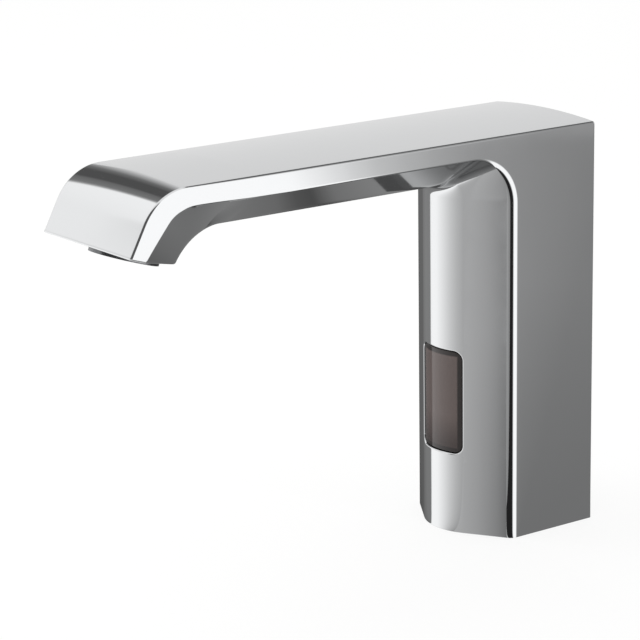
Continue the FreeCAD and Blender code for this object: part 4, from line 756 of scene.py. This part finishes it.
def honeycombTree():
    tree, sizes = startTree("honeycombLattice", honeycomb)
    # worked out from the inputs: name, operation and its two sides
    worked = {name: sizes[name] for name in honeycomb}
    for name, operation, first, second in (
            ("gridSpan", "MULTIPLY", "Cell Pitch", honeycombMake["gridCount"] - 1),
            ("gridDepth", "MULTIPLY", "gridSpan", 0.75 ** 0.5),
            ("halfRing", "MULTIPLY", "Ring Width", 0.5),
            ("ringMiddle", "SUBTRACT", "Outer Radius", "halfRing"),
            ("halfDepth", "MULTIPLY", "Depth", 0.5),
            ("wallShare", "DIVIDE", "Cell Wall", "Cell Pitch"),
            ("openShare", "SUBTRACT", 1.0, "wallShare")):
        sides = [(0, worked.get(first, first)), (1, worked.get(second, second))]
        worked[name] = addNode(tree, "ShaderNodeMath", sides, operation=operation).outputs[0]
    # triangles with the pitch as their side: a square grid, sheared, whose dual is the hexagons
    grid = addNode(tree, "GeometryNodeMeshGrid", [
        ("Size X", worked["gridSpan"]), ("Size Y", worked["gridDepth"]),
        ("Vertices X", honeycombMake["gridCount"]), ("Vertices Y", honeycombMake["gridCount"])])
    place = tree.nodes.new("GeometryNodeInputPosition").outputs[0]
    parts = addNode(tree, "ShaderNodeSeparateXYZ", [(0, place)])
    slant = addNode(tree, "ShaderNodeMath", [(0, parts.outputs["Y"]), (1, 3 ** -0.5)], operation="MULTIPLY")
    shift = addNode(tree, "ShaderNodeCombineXYZ", [("X", slant.outputs[0])])
    sheared = addNode(tree, "GeometryNodeSetPosition", [
        ("Geometry", grid.outputs["Mesh"]), ("Offset", shift.outputs[0])])
    thirds = addNode(tree, "GeometryNodeTriangulate", [("Mesh", sheared.outputs[0])])
    cells = addNode(tree, "GeometryNodeDualMesh", [("Mesh", thirds.outputs[0])])
    # cells beyond the ring's middle go, and corners past it are drawn back onto it
    away = addNode(tree, "ShaderNodeVectorMath", [(0, place)], operation="LENGTH").outputs["Value"]
    outside = addNode(tree, "FunctionNodeCompare", [("A", away), ("B", worked["ringMiddle"])],
                      operation="GREATER_THAN")
    disc = addNode(tree, "GeometryNodeDeleteGeometry", [
        ("Geometry", cells.outputs[0]), ("Selection", outside.outputs[0])], domain="FACE")
    ratio = addNode(tree, "ShaderNodeMath", [(0, worked["ringMiddle"]), (1, away)], operation="DIVIDE")
    pull = addNode(tree, "ShaderNodeMath", [(0, ratio.outputs[0]), (1, 1.0)], operation="MINIMUM")
    drawn = addNode(tree, "ShaderNodeVectorMath", [(0, place), ("Scale", pull.outputs[0])],
                    operation="SCALE")
    held = addNode(tree, "GeometryNodeSetPosition", [
        ("Geometry", disc.outputs[0]), ("Position", drawn.outputs["Vector"])])
    # walls: each cell inset and opened, then raised and closed below
    inset = addNode(tree, "GeometryNodeExtrudeMesh", [
        ("Mesh", held.outputs[0]), ("Offset Scale", 0.0), ("Individual", True)], mode="FACES")
    shrunk = addNode(tree, "GeometryNodeScaleElements", [
        ("Geometry", inset.outputs["Mesh"]), ("Selection", inset.outputs["Top"]),
        ("Scale", worked["openShare"])], domain="FACE")
    walls = addNode(tree, "GeometryNodeDeleteGeometry", [
        ("Geometry", shrunk.outputs[0]), ("Selection", inset.outputs["Top"])], domain="FACE")
    raised = addNode(tree, "GeometryNodeExtrudeMesh", [
        ("Mesh", walls.outputs[0]), ("Offset", (0, 0, 1)), ("Offset Scale", sizes["Depth"]),
        ("Individual", False)], mode="FACES")
    lower = addNode(tree, "GeometryNodeFlipFaces", [("Mesh", walls.outputs[0])])
    lattice = addNode(tree, "GeometryNodeJoinGeometry", [(0, raised.outputs["Mesh"]), (0, lower.outputs[0])])
    merged = addNode(tree, "GeometryNodeMergeByDistance", [
        ("Geometry", lattice.outputs[0]), ("Distance", honeycombMake["weld"])])
    # the ring round the cells
    circle = addNode(tree, "GeometryNodeCurvePrimitiveCircle", [
        ("Resolution", honeycombMake["ringSteps"]), ("Radius", worked["ringMiddle"])])
    section = addNode(tree, "GeometryNodeCurvePrimitiveQuadrilateral", [
        ("Width", sizes["Ring Width"]), ("Height", sizes["Depth"])])
    ring = addNode(tree, "GeometryNodeCurveToMesh", [
        ("Curve", circle.outputs[0]), ("Profile Curve", section.outputs[0])])
    lift = addNode(tree, "ShaderNodeCombineXYZ", [("Z", worked["halfDepth"])])
    lifted = addNode(tree, "GeometryNodeTransform", [
        ("Geometry", ring.outputs[0]), ("Translation", lift.outputs[0])])
    both = addNode(tree, "GeometryNodeJoinGeometry", [(0, merged.outputs[0]), (0, lifted.outputs[0])])
    flat = addNode(tree, "GeometryNodeSetShadeSmooth", [
        ("Geometry", both.outputs[0]), ("Shade Smooth", False)])
    seat = outletMiddle - outwards * honeycombMake["lowFace"]
    endTree(tree, flat.outputs[0], "aerator_straightener", seat, (-tilt, 0, 0))
    return tree


pieceFromTree("aeratorHoneycomb", honeycombTree(), honeycomb, "aerator_straightener")

# coil springs: they stay in the casing
springs = {
    "plunger_spring": {"name": "plungerSpring", "turns": 6, "joint": "plunger_slide", "travel": 1.8 * mm},
    "check_valve_spring": {"name": "checkValveSpring", "turns": 4, "joint": "poppet_slide",
                           "travel": 2.0 * mm},
}
springWire = 0.25 * mm
springSteps = {"turn": 32, "wire": 12}


def springTree(sizes, middle, nodeName):
    tree, given = startTree("coilSpring", sizes)
    coil = addNode(tree, "GeometryNodeCurveSpiral", [
        ("Resolution", springSteps["turn"]), ("Rotations", given["Turns"]), ("Height", given["Height"]),
        ("Start Radius", given["Coil Radius"]), ("End Radius", given["Coil Radius"])])
    wire = addNode(tree, "GeometryNodeCurvePrimitiveCircle", [
        ("Resolution", springSteps["wire"]), ("Radius", given["Wire Radius"])])
    bent = addNode(tree, "GeometryNodeCurveToMesh", [
        ("Curve", coil.outputs[0]), ("Profile Curve", wire.outputs[0]), ("Fill Caps", True)])
    endTree(tree, bent.outputs[0], nodeName, middle)
    return tree


for nodeName, spring in springs.items():
    low, high = (Vector(corner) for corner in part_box(nodeName))
    sizes = {"Coil Radius": (high.x - low.x) / 2 - springWire, "Wire Radius": springWire,
             "Height": high.z - low.z - 2 * springWire, "Turns": float(spring["turns"])}
    foot = Vector(((low.x + high.x) / 2, (low.y + high.y) / 2, low.z + springWire))
    coil = pieceFromTree(spring["name"], springTree(sizes, foot, nodeName), sizes, nodeName)
    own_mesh(coil)

view = {"place": (690.5 * mm, -576.7 * mm, 305.1 * mm), "azimuth": 53.82, "elevation": 14.70, "roll": -0.86,
        "lens": 154.5, "clipStart": 0.01}


def addCamera():
    azimuth, elevation, roll = (math.radians(view[key]) for key in ("azimuth", "elevation", "roll"))
    back = Vector((math.sin(azimuth) * math.cos(elevation), -math.cos(azimuth) * math.cos(elevation),
                   math.sin(elevation)))
    right = Vector((math.cos(azimuth), math.sin(azimuth), 0))
    up = back.cross(right)
    turnedRight = right * math.cos(roll) + up * math.sin(roll)
    turnedUp = up * math.cos(roll) - right * math.sin(roll)
    data = bpy.data.cameras.new("camera")
    data.lens = view["lens"]
    data.clip_start = view["clipStart"]
    camera = addObject("camera", data)
    camera.matrix_world = Matrix.Translation(view["place"]) @ Matrix(
        (turnedRight, turnedUp, back)).transposed().to_4x4()
    bpy.context.scene.camera = camera


# floor, backdrop and cards; the cards are what the polished metal mirrors, and only mirror rays see them
studio = {"floorColour": "#F4F4F3", "floorRoughness": 0.9, "floorGloss": 0.1, "floorGlow": 1.1,
          "floorShare": 0.74, "floorReach": 30.0, "worldLight": 0.72, "secondMirror": 0.5,
          "cardLift": 0.05 * mm, "fanReach": 0.9, "fanRows": (0.0, 0.01, 0.04, 0.15, 0.4, 1.0),
          "fanFar": 0.4, "spokeGap": 1.5}


def seenDirectly(tree):
    # 1 for rays from the camera, from a mirror or through glass
    path = addNode(tree, "ShaderNodeLightPath")
    both = addNode(tree, "ShaderNodeMath", [
        (0, path.outputs["Is Camera Ray"]), (1, path.outputs["Is Glossy Ray"])], operation="MAXIMUM")
    return addNode(tree, "ShaderNodeMath", [
        (0, both.outputs[0]), (1, path.outputs["Is Transmission Ray"])], operation="MAXIMUM").outputs[0]


def addFloor():
    # matt white paper that looks as bright as the backdrop
    material, tree, shader = startMaterial("paleStudioFloor")
    setShader(shader, Base_Color=linear(studio["floorColour"]), Roughness=studio["floorRoughness"],
              Specular_IOR_Level=studio["floorGloss"])
    glow = addNode(tree, "ShaderNodeEmission", [("Color", (1, 1, 1, 1)), ("Strength", studio["floorGlow"])])
    share = addNode(tree, "ShaderNodeMath", [(0, seenDirectly(tree)), (1, studio["floorShare"])],
                    operation="MULTIPLY")
    mix = addNode(tree, "ShaderNodeMixShader", [
        ("Fac", share.outputs[0]), (1, shader.outputs[0]), (2, glow.outputs[0])])
    tree.links.new(mix.outputs[0], tree.nodes["Material Output"].inputs["Surface"])
    mesh = bpy.data.meshes.new("floor")
    reach = studio["floorReach"]
    mesh.from_pydata([(-reach, -reach, 0), (reach, -reach, 0), (reach, reach, 0), (-reach, reach, 0)], [],
                     [(0, 1, 2, 3)])
    mesh.materials.append(material)
    addObject("floor", mesh)


def addWorld():
    # white where it is seen, a little less as light
    world = bpy.data.worlds.new("studio")
    world.use_nodes = True
    tree = world.node_tree
    background = tree.nodes["Background"]
    level = addNode(tree, "ShaderNodeMapRange", [
        ("Value", seenDirectly(tree)), ("To Min", studio["worldLight"]), ("To Max", 1.0)])
    tree.links.new(level.outputs[0], background.inputs["Strength"])
    background.inputs["Color"].default_value = (1, 1, 1, 1)
    bpy.context.scene.world = world


def addLamp(name, place, target, size, power):
    data = bpy.data.lights.new(name, "AREA")
    data.shape = "RECTANGLE"
    data.size, data.size_y = size
    data.energy = power
    lamp = addObject(name, data)
    lamp.location = place
    lamp.rotation_euler = (Vector(target) - Vector(place)).to_track_quat("-Z", "Y").to_euler()
    lamp.visible_glossy = False


def cardMaterial():
    # plain light of each corner's own level; a card seen in a mirror seen in a mirror is dimmer
    material = bpy.data.materials.new("studioCard")
    material.use_nodes = True
    tree = material.node_tree
    tree.nodes.clear()
    level = addNode(tree, "ShaderNodeAttribute", attribute_name="level")
    path = addNode(tree, "ShaderNodeLightPath")
    depth = addNode(tree, "ShaderNodeMapRange", [
        ("Value", path.outputs["Glossy Depth"]), ("From Min", 1.0), ("From Max", 2.0), ("To Min", 1.0),
        ("To Max", studio["secondMirror"])])
    strength = addNode(tree, "ShaderNodeMath", [(0, level.outputs["Fac"]), (1, depth.outputs[0])],
                       operation="MULTIPLY")
    glow = addNode(tree, "ShaderNodeEmission", [("Strength", strength.outputs[0])])
    addNode(tree, "ShaderNodeOutputMaterial", [("Surface", glow.outputs[0])])
    return material


cardFinish = cardMaterial()


def addCard(name, rows):
    # rows of (place, brightness) pairs, all as long; 1 is the white of the backdrop
    mesh = bpy.data.meshes.new(name)
    width = len(rows[0])
    faces = [(r * width + k, r * width + k + 1, (r + 1) * width + k + 1, (r + 1) * width + k)
             for r in range(len(rows) - 1) for k in range(width - 1)]
    mesh.from_pydata([tuple(place) for row in rows for place, _ in row], [], faces)
    level = mesh.attributes.new("level", "FLOAT", "POINT")
    level.data.foreach_set("value", [brightness for row in rows for _, brightness in row])
    mesh.materials.append(cardFinish)
    card = addObject(name, mesh)
    for seenBy in ("camera", "diffuse", "transmission", "volume_scatter", "shadow"):
        setattr(card, "visible_" + seenBy, False)


def heading(degrees):
    return Vector((math.cos(math.radians(degrees)), math.sin(math.radians(degrees)), 0))


def liftOf(layer):
    return Vector((0, 0, studio["cardLift"] * layer))


def addFan(name, hub, layer, spokes):
    # a fan on the table, with finer spokes put between those given
    fine = [spokes[0]]
    for spoke, following in zip(spokes, spokes[1:]):
        count = math.ceil(abs(following[0] - spoke[0]) / studio["spokeGap"])
        fine += [tuple(a + (b - a) * k / count for a, b in zip(spoke, following))
                 for k in range(1, count + 1)]
    rows = []
    for share in studio["fanRows"]:
        reach = share * studio["fanReach"]
        rows.append([(hub + heading(angle) * reach + liftOf(layer),
                      near + (far - near) * min(share / studio["fanFar"], 1)) for angle, near, far in fine])
    addCard(name, rows)


# spokes: degrees from +X towards +Y, brightness near the hub, brightness far out
keelPlace = casting["cornerY"] - bowDepth
fans = {
    "rightFan": {"hub": Vector((23.6 * mm, -10.8 * mm, 0)), "layer": 1, "spokes": [
        (-76, 0.2, 0.2), (-71, 0.02, 0.02), (-14, 0.02, 0.02), (-3, 1.35, 1.35), (28.4, 1.35, 1.35),
        (33.2, 0.72, 0.7), (37.6, 0.3, 0.41), (41, 0.23, 0.34), (45, 0.22, 0.28), (60, 0.22, 0.24),
        (95, 0.22, 0.24)]},
    "keelFan": {"hub": Vector((5 * mm, casting["cornerY"] - 8 * mm, 0)), "layer": 2, "spokes": [
        (-162, 1.2, 1.2), (-150, 1.27, 1.27), (-138, 1.25, 1.25), (-121, 1.03, 1.03), (-104, 0.79, 0.79),
        (-90, 0.63, 0.63), (-78, 0.53, 0.53), (-60, 0.4, 0.4), (-40, 0.3, 0.3)]},
    "leftFan": {"hub": Vector((-4 * mm, keelPlace, 0)), "layer": 4, "spokes": [
        (-157.5, 1.15, 1.15), (-160.5, 0.25, 0.28), (-180, 0.24, 0.28), (-203, 0.16, 0.2),
        (-208, 0.1, 0.12), (-212, 0.08, 0.1), (-217, 0.18, 0.24), (-225, 0.24, 0.3), (-240, 0.3, 0.4)]},
}

# strips: offset in mm at the foot, offset far out, brightness at the foot, brightness far out
# rows across them: distance from the foot along the heading, share of the way out
facetStrips = {
    "heading": -75.2, "layer": 3, "farFrom": 1 / 3,
    "rows": ((-0.03, 0), (0.02, 0.02), (0.27, 0.33), (0.8, 1)),
    "strips": ((1.6, -6, 0.18, 0.28), (2.2, 1.5, 0.22, 0.33), (5, 5, 0.3, 0.4), (8.5, 8.5, 0.37, 0.45),
               (12, 12, 0.44, 0.48), (16.1, 16.1, 0.5, 0.52), (20, 17.5, 0.55, 0.55)),
}


def addFacetStrips():
    along = heading(facetStrips["heading"])
    across = heading(facetStrips["heading"] - 90)
    foot = Vector((halfWidth, casting["cornerY"], 0)) + liftOf(facetStrips["layer"])
    rows = []
    for distance, share in facetStrips["rows"]:
        gain = min(share / facetStrips["farFrom"], 1)
        rows.append([(foot + across * (near + (far - near) * share) * mm + along * distance,
                      dim + (bright - dim) * gain) for near, far, dim, bright in facetStrips["strips"]])
    addCard("facetStrips", rows)


# upright cards; places: x, y and brightness; heights: z and its share of that brightness
farX = -1.9
uprightCards = {
    "rightSoftbox": {"places": ((0.62, -0.26, 1.35), (0.62, 0.31, 1.35), (0.60, 0.38, 0.7),
                                (0.56, 0.46, 0.4), (0.40, 0.64, 0.31)), "heights": ((0.0, 1), (0.9, 1))},
    "noseFlag": {"places": ((farX, 1.02, 0.85), (farX, 0.88, 0.55), (farX, 0.66, 0.2), (farX, 0.45, 0.1),
                            (farX, 0.06, 0.1), (farX, -0.03, 0.18), (farX, -0.27, 0.24), (farX, -0.34, 0.5),
                            (farX, -0.4, 1.12)), "heights": ((0.7, 1), (2.2, 1))},
    "leftSoftbox": {"places": ((farX, -3.0, 0.9), (farX, -1.4, 0.96), (farX, -1.25, 1.13),
                               (farX, -0.4, 1.13)), "heights": ((0.05, 0.95), (0.8, 1), (1.8, 1.08))},
    "spoutFlag": {"places": ((-25 * mm, -122 * mm, 1), (25 * mm, -122 * mm, 1)),
                  "heights": ((96 * mm, 0.12), (106 * mm, 0.18), (130 * mm, 0.26))},
    "topCard": {"places": ((farX, 1.02, 0.83), (farX, 2.6, 0.83)), "heights": ((0.02, 1), (2.2, 1))},
    "topCardBelow": {"places": ((farX, -0.2, 0.83), (farX, 1.02, 0.83)), "heights": ((0.02, 1), (0.7, 1))},
    "cameraFlag": {"places": ((-0.6, -1.7, 0.12), (1.7, -0.45, 0.12)), "heights": ((0.15, 1), (2.2, 1))},
}
ridgeFlag = {"across": (-0.55, 1.0), "along": (0.35, 1.3), "height": 1.0, "level": 0.15}  # lies flat


def addCards():
    for name, fan in fans.items():
        addFan(name, fan["hub"], fan["layer"], fan["spokes"])
    addFacetStrips()
    for name, card in uprightCards.items():
        addCard(name, [[((x, y, z), level * share) for x, y, level in card["places"]]
                       for z, share in card["heights"]])
    addCard("ridgeFlag", [[((x, y, ridgeFlag["height"]), ridgeFlag["level"]) for x in ridgeFlag["across"]]
                          for y in ridgeFlag["along"]])


addCamera()
addFloor()
addWorld()
addCards()
addLamp("keyLamp", place=(-0.6, -0.5, 1.1), target=(0, -0.05, 0.05), size=(0.9, 0.9), power=3.0)
bpy.context.scene.view_settings.view_transform = "Standard"
print("stage: camera and light")
